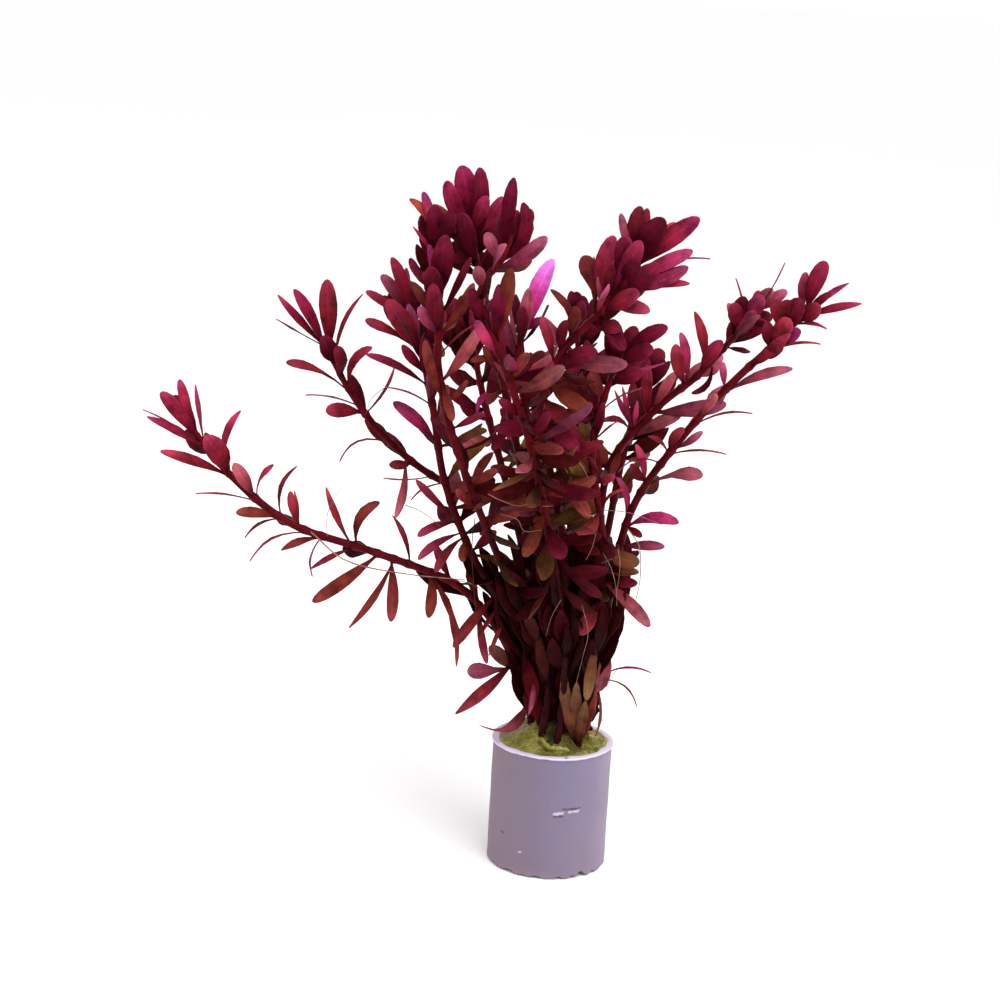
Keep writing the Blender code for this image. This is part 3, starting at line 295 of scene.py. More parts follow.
        (778, 342, 801, 331, 3.8, 12, 0, -6, "bm"),
    ],
}

# The dense middle of the bunch, as an outline in pixels
MIDDLE_OUTLINE = [(520, 712), (505, 650), (492, 610), (485, 560), (472, 515), (470, 460),
                  (490, 400), (500, 350), (530, 345), (570, 330), (640, 335), (640, 375),
                  (606, 405), (598, 440), (612, 470), (600, 500), (604, 530), (634, 550),
                  (636, 585), (612, 605), (602, 640), (594, 712)]

# Fine roots: their shoot, thickness in millimetres, paleness (0 dark, 1 pale) and readings
ROOTS = [
    ("far_left", 0.55, 1.0, [(311, 532, -24), (345, 560, -27), (400, 573, -25), (465, 580, -20)]),
    ("far_right", 0.40, 0.9, [(628, 529, -20), (639, 546, -22), (640, 580, -20), (635, 603, -18)]),
    ("far_right", 0.30, 0.8, [(603, 510, -19), (625, 512, -20), (642, 517, -22), (662, 525, -23)]),
    ("left_inner", 0.35, 0.1, [(475, 518, -22), (472, 545, -23), (474, 590, -22), (478, 634, -20)]),
    ("left_inner", 0.30, 0.6, [(405, 505, -19), (422, 512, -20), (440, 526, -20)]),
    ("far_left", 0.28, 0.7, [(455, 580, -20), (472, 584, -22), (490, 596, -22)]),
    ("top_bent", 0.35, 0.8, [(488, 494, -40), (500, 500, -42), (520, 506, -43), (536, 500, -44)]),
    ("top_bent", 0.30, 0.8, [(500, 514, -40), (518, 520, -42), (524, 531, -43), (541, 530, -43)]),
    ("right_inner", 0.26, 0.9, [(603, 553, -30), (611, 568, -32), (616, 588, -31), (617, 606, -28)]),
    ("right_inner", 0.26, 0.9, [(618, 549, -30), (620, 566, -32), (617, 590, -30)]),
    ("right_inner", 0.24, 0.9, [(602, 563, -30), (609, 560, -32), (617, 557, -31)]),
    ("right_inner", 0.30, 1.0, [(574, 458, -40), (564, 459, -42), (564, 466, -42), (568, 473, -41)]),
    ("top_bent", 0.26, 0.9, [(575, 460, -40), (582, 466, -42), (588, 478, -41)]),
    ("far_right", 0.22, 0.7, [(618, 668, -18), (608, 684, -20), (600, 703, -20)]),
    ("top_bent", 0.26, 0.6, [(561, 600, -36), (552, 616, -38), (546, 636, -36)]),
    ("top_bent", 0.26, 0.7, [(582, 605, -36), (588, 632, -36), (583, 656, -33), (576, 684, -30)]),
    ("left", 0.22, 0.5, [(384, 388, -12), (372, 398, -14), (366, 414, -8)]),
    ("far_left", 0.24, 0.7, [(327, 536, -24), (328, 512, -26), (341, 488, -26)]),
    ("right_inner", 0.30, 0.8, [(585, 514, -34), (590, 516, -35), (596, 514, -34)]),
    ("right_inner", 0.24, 0.7, [(596, 533, -34), (592, 548, -36), (586, 560, -35)]),
]

# Gaps that stay open in the bunch: middle of each in pixels, and its reach to the sides
GAPS = [(475, 385, 7), (494, 404, 8), (523, 403, 6), (559, 398, 5), (488, 432, 4), (520, 434, 3),
        (500, 455, 4), (504, 530, 5), (515, 558, 4), (540, 347, 6), (574, 350, 5), (613, 405, 8),
        (611, 434, 9), (611, 512, 9), (491, 634, 6), (560, 320, 5), (478, 470, 5), (522, 492, 2),
        (455, 285, 8), (517, 226, 2), (483, 542, 3), (510, 595, 2)]


# A value held from 0 to 1, and a colour part of the way between two others
def held(value):
    return min(1.0, max(0.0, value))


def between(first, second, share):
    return [a + (b - a) * share for a, b in zip(first, second)]


# Growing wool's upper surface
def wool_radius():
    return RING_RADIUS - RING_WALL - WOOL_GAP


def wool_height(x, y):
    reach = min(1.0, math.hypot(x, y) / wool_radius())
    bearing = math.atan2(y, x)
    folds = 0.45 * math.sin(3 * bearing + 0.6) + 0.3 * math.sin(5 * bearing + 2.0)
    return WOOL_EDGE + WOOL_RISE * (1 - reach ** 2) + folds * math.sin(math.pi * reach)


# Readings to places and back
def eye_axes():
    yaw, pitch, roll = [math.radians(angle) for angle in EYE_TURN]
    return (Matrix.Rotation(yaw, 3, "Z") @ Matrix.Rotation(pitch, 3, "X")
            @ Matrix.Rotation(roll, 3, "Y"))


EYE_AXES = eye_axes()


def place_in_picture(across_px, down_px, depth):
    sight = EYE_AXES @ Vector(((across_px - PICTURE_MIDDLE) / PICTURE_DISTANCE, 1.0,
                                 (PICTURE_MIDDLE - down_px) / PICTURE_DISTANCE))
    return Vector(EYE) + sight * (depth - EYE[1]) / sight.y


def picture_of(place):
    seen = EYE_AXES.transposed() @ (place - Vector(EYE))
    return Vector((PICTURE_MIDDLE + PICTURE_DISTANCE * seen.x / seen.y,
                   PICTURE_MIDDLE - PICTURE_DISTANCE * seen.z / seen.y))


# The line of sight is followed over the wool in steps, from front to back
SIGHT_START = -15.0
SIGHT_STEP = 0.2
SIGHT_STEPS = 160


def place_on_wool(across_px, down_px):
    for step in range(SIGHT_STEPS):
        place = place_in_picture(across_px, down_px, SIGHT_START + SIGHT_STEP * step)
        if place.z < wool_height(place.x, place.y):
            return place
    return place


# Places this near a stem's straight foot are left out of its route, and it is measured in steps
NEAR_FOOT = 3.0
MEASURE_STEP = 0.5


# Stem route: a smooth line through the read places, measured along its length
class Route:
    def __init__(self, spot, readings):
        x, y = spot
        foot = Vector((x, y, wool_height(x, y) - SOCKET_DEPTH))
        chosen = [place_in_picture(*reading) for reading in readings]
        knee = foot + (chosen[0] - foot).normalized() * STRAIGHT_FOOT
        self.places = smooth_line([foot, knee] + [p for p in chosen if (p - knee).length > NEAR_FOOT])
        self.marks = [0.0]
        for here, there in zip(self.places, self.places[1:]):
            self.marks.append(self.marks[-1] + (there - here).length)
        self.length = self.marks[-1]

    def at(self, distance):
        distance = min(max(distance, 0.0), self.length)
        i = 0
        while i < len(self.marks) - 2 and self.marks[i + 1] < distance:
            i += 1
        share = (distance - self.marks[i]) / (self.marks[i + 1] - self.marks[i])
        place = self.places[i].lerp(self.places[i + 1], share)
        low = self.places[max(i - 1, 0)]
        high = self.places[min(i + 2, len(self.places) - 1)]
        return place, (high - low).normalized()

    def nearest(self, across_px, down_px):
        steps = [step * MEASURE_STEP for step in range(int(self.length / MEASURE_STEP))]
        reading = Vector((across_px, down_px))
        return min(steps, key=lambda d: (picture_of(self.at(d)[0]) - reading).length)


def smooth_line(line, pace=1.5):
    places = [line[0]]
    for i in range(len(line) - 1):
        before = line[i - 1] if i else 2 * line[0] - line[1]
        after = line[i + 2] if i + 2 < len(line) else 2 * line[-1] - line[-2]
        places += smooth_piece(before, line[i], line[i + 1], after, pace)
    return places


def smooth_piece(before, start, end, after, pace):
    steps = max(2, round((end - start).length / pace))
    span = (end - start).length
    leave = (end - before).normalized() * span
    arrive = (after - start).normalized() * span
    places = []
    for step in range(1, steps + 1):
        t = step / steps
        places.append(start * (2 * t ** 3 - 3 * t ** 2 + 1) + end * (3 * t ** 2 - 2 * t ** 3)
                      + leave * (t ** 3 - 2 * t ** 2 + t) + arrive * (t ** 3 - t ** 2))
    return places


# Bearings round a stem are measured from the front of the plant
def across(along, bearing):
    front = Vector((0, -1, 0))
    front = (front - along * front.dot(along)).normalized()
    side = along.cross(front)
    angle = math.radians(bearing)
    return front * math.cos(angle) + side * math.sin(angle)


def stem_radius(route, distance):
    young = min(1.0, (route.length - distance) / YOUNG_STEM)
    return STEM_TIP_RADIUS + (STEM_RADIUS - STEM_TIP_RADIUS) * young


# One leaf: from its root on the stem to its tip, bowed, with its blade turned about that line
class Leaf:
    def __init__(self, root, tip, side, bow, width, twist, look, age):
        self.root = root
        self.tip = tip
        self.side = side
        self.bow = bow
        self.width = width
        self.twist = twist
        self.look = look
        self.age = age
        self.length = (tip - root).length

    def spine(self, place):
        chord = self.tip - self.root
        middle = self.root + chord * place + self.bow * (4 * place * (1 - place))
        forward = (chord + self.bow * (4 - 8 * place)).normalized()
        side = (self.side - forward * self.side.dot(forward)).normalized()
        angle = math.radians(self.twist) * (place - 0.5)
        up = side.cross(forward)
        side = side * math.cos(angle) + up * math.sin(angle)
        return middle, side, side.cross(forward)


# Leaves turned less than this show their face. A blade twists by up to so many degrees either
# way, and arches by a share of its length between these two
FACING = 35
READ_TWIST = 22
READ_ARCH = (-0.02, 0.09)


def read_leaf(route, reading, dice):
    root_x, root_y, tip_x, tip_y, width, turn, bow, back, look = reading
    distance = route.nearest(root_x, root_y)
    middle, along = route.at(distance)
    tip = place_in_picture(tip_x, tip_y, middle.y + back)
    reach = tip - middle
    out = (reach - along * reach.dot(along)).normalized()
    root = middle + out * stem_radius(route, distance) * ROOTED
    chord = (tip - root).normalized()
    sight = (middle - Vector(EYE)).normalized()
    left = chord.cross(sight).normalized()
    toward = chord.cross(left).normalized()
    if toward.dot(sight) > 0:
        toward = -toward
    angle = math.radians(turn)
    sides = [-left * math.cos(angle) + toward * math.sin(angle) * sign for sign in (1, -1)]
    lifts = [side.cross(chord).z + dice.uniform(-0.1, 0.1) for side in sides]
    side = sides[lifts.index(max(lifts))]
    length = (tip - root).length
    arch = toward * length * dice.uniform(*READ_ARCH)
    if look[0] in "bs" and turn < FACING and route.length - distance < CROWN:
        width *= BROADER
    age = min(1.0, (route.length - distance) / GROWN_DOWN)
    twist = dice.uniform(-READ_TWIST, READ_TWIST)
    return Leaf(root, tip, side, left * bow + arch, width, twist, look, age)


# The same for leaves grown by rule: twist, spread of the turn in degrees, and arch
RULED_TWIST = 20
RULED_TURN = 28
RULED_ARCH = -0.07


def grown_leaf(route, distance, bearing, lean, length, width, look, dice):
    middle, along = route.at(distance)
    out = across(along, bearing)
    root = middle + out * stem_radius(route, distance) * ROOTED
    angle = math.radians(lean)
    chord = along * math.cos(angle) + out * math.sin(angle)
    bow = (along * math.sin(angle) - out * math.cos(angle)) * length * RULED_ARCH
    side = chord.cross(LIGHT).normalized()
    turn = math.radians(dice.gauss(0, RULED_TURN))
    side = side * math.cos(turn) + side.cross(chord) * math.sin(turn)
    age = min(1.0, (route.length - distance) / GROWN_DOWN)
    twist = dice.uniform(-RULED_TWIST, RULED_TWIST)
    return Leaf(root, root + chord * length, side, bow, width, twist, look, age)


# Simple bodies that keep the hidden leaves clear of the others
class Body:
    def __init__(self, verts, faces):
        self.low = [min(v[i] for v in verts) for i in range(3)]
        self.high = [max(v[i] for v in verts) for i in range(3)]
        self.tree = BVHTree.FromPolygons(verts, faces)

    def touches(self, other):
        for i in range(3):
            if self.low[i] > other.high[i] or other.low[i] > self.high[i]:
                return False
        return bool(self.tree.overlap(other.tree))


def tube_faces(number, sides):
    low = sides * (number - 1)
    return [(low + k, low + (k + 1) % sides, low + sides + (k + 1) % sides, low + sides + k)
            for k in range(sides)]


# A leaf's body: places along it and its share of the width there
BODY_ROWS = [(0.22, 0.45), (0.55, 0.9), (0.8, 1.0), (1.0, 0.35)]


def leaf_body(leaf, extra):
    verts = []
    faces = []
    for number, (place, share) in enumerate(BODY_ROWS):
        middle, side, up = leaf.spine(place)
        half = leaf.width * share / 2 + extra
        rise = LEAF_THICKNESS / 2 + extra
        verts += [middle - side * half - up * rise, middle + side * half - up * rise,
                  middle + side * half + up * rise, middle - side * half + up * rise]
        if number:
            faces += tube_faces(number, 4)
    return Body(verts, faces)


STEM_BODY_STEP = 3
STEM_BODY_SIDES = 6


def stem_body(route):
    verts = []
    faces = []
    steps = max(2, round(route.length / STEM_BODY_STEP))
    for step in range(steps + 1):
        distance = route.length * step / steps
        middle, along = route.at(distance)
        radius = stem_radius(route, distance)
        verts += [middle + across(along, 360 / STEM_BODY_SIDES * k) * radius
                  for k in range(STEM_BODY_SIDES)]
        if step:
            faces += tube_faces(step, STEM_BODY_SIDES)
    return Body(verts, faces)


def inside_outline(spot, outline):
    inside = False
    for (x, y), (far_x, far_y) in zip(outline, outline[1:] + outline[:1]):
        if (y > spot.y) != (far_y > spot.y):
            inside ^= spot.x < x + (far_x - x) * (spot.y - y) / (far_y - y)
    return inside


# Leaves behind and inside the bunch are grown by rule, where the read ones leave room. How far
# their tips may stray from their stem in the picture, in pixels
BESIDE_CROWN = 22.0
BEHIND_CROWN = 34.0
BESIDE_STEM = 11.0
BEHIND_STEM = 16.0
BACK_SHOOT = 40.0
# Side shoots have this share of it
SIDE_SHARE = 0.5
SIDE_SHOOTS = ("far_left", "left", "right", "far_right")
# Gaps are this much taller than wide
GAP_TALLER = 1.4
# Bearings that lie behind a stem, in degrees
BEHIND = (100, 260)
# Heights in the picture, in pixels: the low bundle and the old leaves start here
LOW_BUNDLE = 590.0
OLD_LEAVES = 455.0
# Leaves this near the foot hang, and all leaves keep between these depths, in millimetres
HANGING = 19.0
NEAREST = -62.0
FURTHEST = 66.5
# Lowest height of a hidden leaf over the ring, in the low bundle and above it
LOW_OVER_RING = 2.5
HIGH_OVER_RING = 6
# A whorl has four leaves, and the next one is turned by this many degrees. The first is this far
# under the tip, the last this far over the foot, and in the low bundle they are this far apart
WHORL = 4
WHORL_TURN = 47
FIRST_WHORL = 1.5
LAST_WHORL = 5
LOW_SPACING = 2.6


def room_beside(name, down, behind):
    if name.startswith("back"):
        return BACK_SHOOT
    if name in SIDE_SHOOTS:
        if down < CROWN:
            return (BEHIND_CROWN if behind else BESIDE_CROWN) * SIDE_SHARE
        return BEHIND_STEM * SIDE_SHARE if behind else 0.0
    if down < CROWN:
        return BEHIND_CROWN if behind else BESIDE_CROWN
    if behind:
        return BEHIND_STEM
    return BESIDE_STEM if down < 2 * CROWN else 0.0


def fills_gap(leaf):
    for place in (0.35, 0.55, 0.75, 0.95):
        middle, side = leaf.spine(place)[:2]
        for edge in (-0.45, 0.0, 0.45):
            spot = picture_of(middle + side * leaf.width * edge)
            for x, y, reach in GAPS:
                if abs(spot.x - x) < reach and abs(spot.y - y) < reach * GAP_TALLER:
                    return True
    return False


def keeps_to_bunch(name, leaf, route, down, behind):
    if not NEAREST < leaf.tip.y < FURTHEST or fills_gap(leaf):
        return False
    tip = picture_of(leaf.tip)
    if inside_outline(tip, MIDDLE_OUTLINE):
        return True
    nearest = route.at(route.nearest(tip.x, tip.y))[0]
    return (picture_of(nearest) - tip).length < room_beside(name, down, behind)


def ruled_leaf(route, down, bearing, dice):
    distance = route.length - down
    spot = picture_of(route.at(distance)[0])
    # Hidden leaves mostly take the dark hues d and k: painted shade inside the bunch and in the low
    # bundle
    if distance < HANGING and dice.random() < 0.6:
        lean = dice.uniform(166, 176)
        length, width = max(4.0, distance - STRAIGHT_FOOT), dice.uniform(3.6, 5.4)
        look = dice.choice("lw") + dice.choice("kkkkdo")
    elif spot.y > LOW_BUNDLE:
        lean = dice.uniform(3, 15)
        length, width = dice.uniform(14, 24), dice.uniform(3.0, 5.2)
        look = "l" + dice.choice("kkkkkdo")
    elif down < 10:
        lean = 9 + 3.2 * down + dice.uniform(-6, 8)
        length, width, look = 9 + 0.7 * down, dice.uniform(4.0, 5.2), "bd"
    else:
        lean = min(105.0, 14 + 9.0 * math.sqrt(down)) + dice.uniform(-30, 14)
        length, width = dice.uniform(12, 19), dice.uniform(3.2, 5.6)
        old = spot.y > OLD_LEAVES
        look = dice.choice("bbll") + dice.choice("ggookkdddv" if old else "dddokkpv")
    return grown_leaf(route, distance, bearing, lean, length, width, look + "h", dice)


def hidden_leaves(name, route, others, own, dice):
    leaves = []
    grown = []
    down = FIRST_WHORL
    turn = dice.uniform(0, 360)
    while down < route.length - LAST_WHORL:
        low = picture_of(route.at(route.length - down)[0]).y > LOW_BUNDLE
        for k in range(WHORL):
            bearing = (turn + 360 / WHORL * k + dice.uniform(-18, 18)) % 360
            leaf = ruled_leaf(route, down, bearing, dice)
            if not keeps_to_bunch(name, leaf, route, down, BEHIND[0] < bearing < BEHIND[1]):
                continue
            probe = leaf_body(leaf, CLEARANCE)
            if probe.low[2] < RING_HEIGHT + (LOW_OVER_RING if low else HIGH_OVER_RING):
                continue
            if any(probe.touches(body) for body in (grown if low else own + others)):
                continue
            body = leaf_body(leaf, 0.0)
            grown.append(body)
            own.append(body)
            leaves.append(leaf)
        down += LOW_SPACING if low else 2.2 + 0.03 * down
        turn += WHORL_TURN
    return leaves


# Starts of the random draws, so that each run gives the same leaves and fibres
READ_SEED = 100
HIDDEN_SEED = 900
BLADE_SEED = 40
WOOL_SEED = 7


def plan_shoots():
    routes = {name: Route(foot, readings) for name, (foot, readings) in STEMS.items()}
    stems = {name: stem_body(route) for name, route in routes.items()}
    leaves = {}
    bodies = {}
    for number, name in enumerate(STEMS):
        dice = random.Random(READ_SEED + number)
        leaves[name] = [read_leaf(routes[name], reading, dice) for reading in SEEN.get(name, [])]
        bodies[name] = [leaf_body(leaf, 0.0) for leaf in leaves[name]]
    for number, name in enumerate(STEMS):
        others = [stems[other] for other in STEMS if other != name]
        others += [body for other in STEMS if other != name for body in bodies[other]]
        own = [stems[name]] + bodies[name]
        dice = random.Random(HIDDEN_SEED + number)
        leaves[name] += hidden_leaves(name, routes[name], others, own, dice)
        bodies[name] = own[1:]
    return routes, leaves


# Leaf blades, each modelled once: a flattened ring drawn out station by station, one unit long
# and one unit wide, lying along +Y with its upper face toward +Z
BLADE_SIDES = 8
BLADES = {
    "b": [(0.0, 0.20), (0.12, 0.30), (0.30, 0.68), (0.48, 0.93), (0.66, 1.00), (0.82, 0.86),
          (0.93, 0.60), (0.985, 0.28)],
    "l": [(0.0, 0.26), (0.14, 0.38), (0.32, 0.72), (0.50, 0.98), (0.66, 0.94), (0.80, 0.72),
          (0.91, 0.44), (0.98, 0.20)],
    "s": [(0.0, 0.15), (0.20, 0.20), (0.42, 0.38), (0.60, 0.76), (0.75, 1.00), (0.88, 0.90),
          (0.95, 0.64), (0.99, 0.30)],
    "t": [(0.0, 0.30), (0.08, 0.52), (0.20, 0.92), (0.34, 1.00), (0.48, 0.76), (0.62, 0.40),
          (0.76, 0.20), (0.92, 0.12)],
    "w": [(0.0, 0.30), (0.14, 0.50), (0.30, 0.88), (0.46, 0.72), (0.62, 1.00), (0.78, 0.64),
          (0.90, 0.44), (0.97, 0.20)],
}


def leaf_blade(name, outline):
    bpy.ops.mesh.primitive_circle_add(vertices=BLADE_SIDES, radius=0.5, fill_type="NGON",
                                      rotation=(math.pi / 2, 0, 0))
    blade = bpy.context.object
    blade.name = name
    bpy.ops.object.transform_apply(rotation=True)
    bpy.ops.object.mode_set(mode="EDIT")
    bpy.ops.mesh.select_mode(type="FACE")
    bpy.ops.mesh.select_all(action="SELECT")
    bpy.ops.transform.resize(value=(outline[0][1], 1.0, 1.0))
    place, width = outline[0]
    for further, wider in outline[1:]:
        bpy.ops.mesh.extrude_region_move(
            TRANSFORM_OT_translate={"value": (0, further - place, 0)})
        bpy.ops.transform.resize(value=(wider / width, 1.0, 1.0))
        place, width = further, wider
    bpy.ops.mesh.extrude_region_move(TRANSFORM_OT_translate={"value": (0, 1.0 - place, 0)})
    bpy.ops.mesh.merge(type="CENTER")
    bpy.ops.mesh.select_all(action="SELECT")
    bpy.ops.mesh.normals_make_consistent(inside=False)
    bpy.ops.object.mode_set(mode="OBJECT")
    add_blade_map(blade.data, outline)
    return blade


# Map and values that the finishes of leaf and stem read from a mesh
def add_layers(mesh):
    layer = mesh.uv_layers.new(name="blade")
    mesh.attributes.new("leaf_colour", "FLOAT_COLOR", "POINT")
    mesh.attributes.new("under", "FLOAT", "POINT")
    return layer


def add_blade_map(mesh, outline):
    widths = dict((round(place, 4), width) for place, width in outline)
    layer = add_layers(mesh)
    for loop in mesh.loops:
        x, y = mesh.vertices[loop.vertex_index].co[:2]
        layer.data[loop.index].uv = (0.5 + x / widths.get(round(y, 4), 1.0), y)
    under = [1.0 if v.co.z < -0.001 else 0.0 for v in mesh.vertices]
    mesh.attributes["under"].data.foreach_set("value", under)


# Colours of a leaf at its root, its middle and its tip. The dark roots are painted shade where
# leaves crowd at the stem, d and k carry painted shade of the bunch, M painted light shining
# through a leaf, and p partly painted light
HUES = {
    "young": ((0.062, 0.002, 0.005), (0.165, 0.008, 0.022), (0.270, 0.022, 0.062)),
    "grown": ((0.055, 0.003, 0.004), (0.130, 0.014, 0.016), (0.185, 0.030, 0.040)),
    "m": ((0.110, 0.004, 0.018), (0.210, 0.014, 0.052), (0.270, 0.032, 0.095)),
    "M": ((0.200, 0.008, 0.070), (0.430, 0.030, 0.240), (0.860, 0.200, 0.800)),
    "p": ((0.090, 0.008, 0.014), (0.210, 0.030, 0.052), (0.340, 0.085, 0.135)),
    "v": ((0.075, 0.009, 0.012), (0.155, 0.029, 0.040), (0.225, 0.060, 0.085)),
    "d": ((0.025, 0.001, 0.002), (0.072, 0.003, 0.009), (0.135, 0.010, 0.026)),
    "k": ((0.018, 0.001, 0.001), (0.045, 0.003, 0.003), (0.080, 0.006, 0.009)),
    "o": ((0.064, 0.006, 0.005), (0.116, 0.016, 0.013), (0.158, 0.028, 0.026)),
    "g": ((0.048, 0.012, 0.004), (0.086, 0.030, 0.009), (0.130, 0.054, 0.019)),
    "r": ((0.130, 0.010, 0.008), (0.260, 0.028, 0.020), (0.380, 0.060, 0.045)),
    "w": ((0.055, 0.010, 0.007), (0.094, 0.030, 0.019), (0.155, 0.068, 0.040)),
}


# Hidden leaves get painted shade from this row of pixels down to the low bundle, by this share
DEEP_FROM = 470.0
DEEP_SHADE = 0.66
# All leaves get a little painted light below the crowns, growing over so many rows of pixels
CROWNS_ABOVE = 300.0
CROWNS_FADE = 110.0
CROWN_SHADE = 0.96
LOWER_PAINTED_LIGHT = 0.26


def leaf_colours(leaf, dice):
    letter = leaf.look[1:2]
    if letter in HUES:
        stops = HUES[letter]
    elif leaf.look[0] == "w":
        stops = HUES["w"]
    else:
        stops = [between(young, grown, leaf.age)
                 for young, grown in zip(HUES["young"], HUES["grown"])]
    down = picture_of(leaf.root).y
    shade = dice.uniform(1.0, 1.45)
    # Painted shade darkens hidden leaves deeper in the bunch, toward the low bundle
    if leaf.look.endswith("h"):
        depth = held((down - DEEP_FROM) / (LOW_BUNDLE - DEEP_FROM))
        shade = dice.uniform(0.65, 1.60) * (1 - DEEP_SHADE * depth)
    # Painted light: leaves below the crowns are brightened row by row of pixels
    shade *= CROWN_SHADE + LOWER_PAINTED_LIGHT * held((down - CROWNS_ABOVE) / CROWNS_FADE)
    warm = dice.uniform(0.85, 1.2)
    return [(min(1.0, r * shade), g * shade * warm, b * shade / warm) for r, g, b in stops]


def colour_along(stops, place):
    if place < 0.5:
        first, second, share = stops[0], stops[1], place / 0.5
    else:
        first, second, share = stops[1], stops[2], (place - 0.5) / 0.5
    return between(first, second, share * share * (3 - 2 * share))


def own_copy(piece):
    thing = piece.copy()
    thing.data = piece.data.copy()
    bpy.context.collection.objects.link(thing)
    return thing


# A blade's middle rib: half its width and its depth, as shares of the blade's width
RIB_REACH = 0.02
RIB_DEPTH = 0.05


# A copy of a blade is laid along its leaf's spine, cupped, waved and curled
def lay_blade(blade, leaf, dice):
    thing = own_copy(blade)
    count = len(thing.data.vertices)
    flat = np.empty(count * 3)
    thing.data.vertices.foreach_get("co", flat)
    flat = flat.reshape(-1, 3)
    stations = {float(place): leaf.spine(float(place)) for place in set(np.round(flat[:, 1], 4))}
    withered = leaf.look[0] == "w"
    cup = dice.uniform(0.05, 0.30) * (1 if dice.random() < 0.75 else -0.7)
    wave = dice.uniform(-0.22, 0.22) * (2.6 if withered else 1.0)
    beat = dice.uniform(1.2, 2.4) * (1.5 if withered else 1.0)
    shift = dice.uniform(0, math.tau)
    curl = dice.uniform(-0.05, 0.09) * (2.5 if withered else 1.0)
    stops = leaf_colours(leaf, dice)
    places = np.empty_like(flat)
    colours = np.ones((count, 4))
    for i in range(count):
        x, y, z = flat[i]
        middle, side, up = stations[round(float(y), 4)]
        rise = z * LEAF_THICKNESS + leaf.width * cup * x * x * 2.0
        rise += leaf.width * wave * x * math.sin(beat * math.tau * y + shift) * y
        rise -= leaf.length * curl * y * y * y
        if abs(x) < RIB_REACH:
            rise -= RIB_DEPTH * leaf.width * (1 if z > 0 else 0.6)
        places[i] = (middle + side * (x * leaf.width) + up * rise)[:]
        colours[i, :3] = colour_along(stops, y)
    thing.data.vertices.foreach_set("co", (places * MM).ravel())
    thing.data.attributes["leaf_colour"].data.foreach_set("color", colours.ravel())
    return thing


def choose(pieces):
    bpy.ops.object.select_all(action="DESELECT")
    for piece in pieces:
        piece.select_set(True)
    bpy.context.view_layer.objects.active = pieces[0]


# A rounded line made a mesh: stems, fine roots and folds of the wool
def drawn_line(name, places, radii, resolution, colour_at):
    curve = bpy.data.curves.new(name, "CURVE")
    curve.dimensions = "3D"
    curve.bevel_depth = 1.0
    curve.bevel_resolution = resolution
    curve.use_fill_caps = True
    line = curve.splines.new("POLY")
    line.points.add(len(places) - 1)
    for point, place, radius in zip(line.points, places, radii):
        point.co = (*(place * MM), 1.0)
        point.radius = radius * MM
    thing = bpy.data.objects.new(name, curve)
    bpy.context.collection.objects.link(thing)
    choose([thing])
    bpy.ops.object.convert(target="MESH")
    mesh = thing.data
    while mesh.uv_layers:
        mesh.uv_layers.remove(mesh.uv_layers[0])
    layer = add_layers(mesh)
    for i, vertex in enumerate(mesh.vertices):
        mesh.attributes["leaf_colour"].data[i].color = (*colour_at(vertex.co.z / MM), 1.0)
    for loop in mesh.loops:
        layer.data[loop.index].uv = (0.25, mesh.vertices[loop.vertex_index].co.z / MM / 100)
    return thing


STEM_YOUNG = (0.078, 0.002, 0.006)
STEM_OLD = (0.044, 0.002, 0.002)
STEM_FOOT_SHADED = (0.018, 0.002, 0.002)
# Heights in millimetres: how far down a stem has its old colour, and where its foot is dark, its own
# dark red deepened with painted shade of the bundle, starting lower on the bare outer stems
OLD_DOWN = 110
DARK_FOOT = 85.0
DARK_BARE_FOOT = 50.0
FOOT_FADE = 35
BARE_STEMS = ("far_left", "far_right", "right")
# Stems are slimmer between the leaves, swell where leaves sit, and end in a blunt tip
STEM_SLIM = 0.84
KNOT_SWELL = 0.22
KNOT_REACH = 0.8
KNOT_SPACE = 4.0
BLUNT_TIP = 0.6


def stem_piece(name, route, knots):
    steps = round(route.length)
    places = []
    radii = []
    for step in range(steps + 1):
        distance = route.length * step / steps
        bead = sum(math.exp(-((distance - knot) / KNOT_REACH) ** 2) for knot in knots)
        radius = stem_radius(route, distance) * (STEM_SLIM + KNOT_SWELL * min(1.0, bead))
        if distance > route.length - 1.0:
            radius *= BLUNT_TIP
        places.append(route.at(distance)[0])
        radii.append(radius)
    top = route.places[-1].z
    # The dark foot is partly the stem's own colour and partly painted shade inside the bundle, so
    # bare outer stems darken lower
    foot = DARK_BARE_FOOT if name in BARE_STEMS else DARK_FOOT

    def colour_at(height):
        colour = between(STEM_YOUNG, STEM_OLD, held((top - height) / OLD_DOWN))
        return between(colour, STEM_FOOT_SHADED, held((foot + FOOT_FADE - height) / FOOT_FADE))

    stem = drawn_line(name + "_stem", places, radii, 2, colour_at)
    stem.data.materials.append(MATERIALS["stem"])
    return stem


ROOT_DARK = (0.050, 0.008, 0.006)
ROOT_PALE = (0.250, 0.150, 0.115)


def root_piece(number, thickness, pale, readings):
    places = smooth_line([place_in_picture(*reading) for reading in readings], 1.2)
    radii = [thickness * (0.42 - 0.20 * i / len(places)) for i in range(len(places))]
    colour = between(ROOT_DARK, ROOT_PALE, pale)
    root = drawn_line(f"fine_root_{number}", places, radii, 1, lambda height: colour)
    root.data.materials.append(MATERIALS["stem"])
    return root


def join(pieces, name):
    choose(pieces)
    bpy.ops.object.join()
    joined = bpy.context.object
    joined.name = name
    return joined


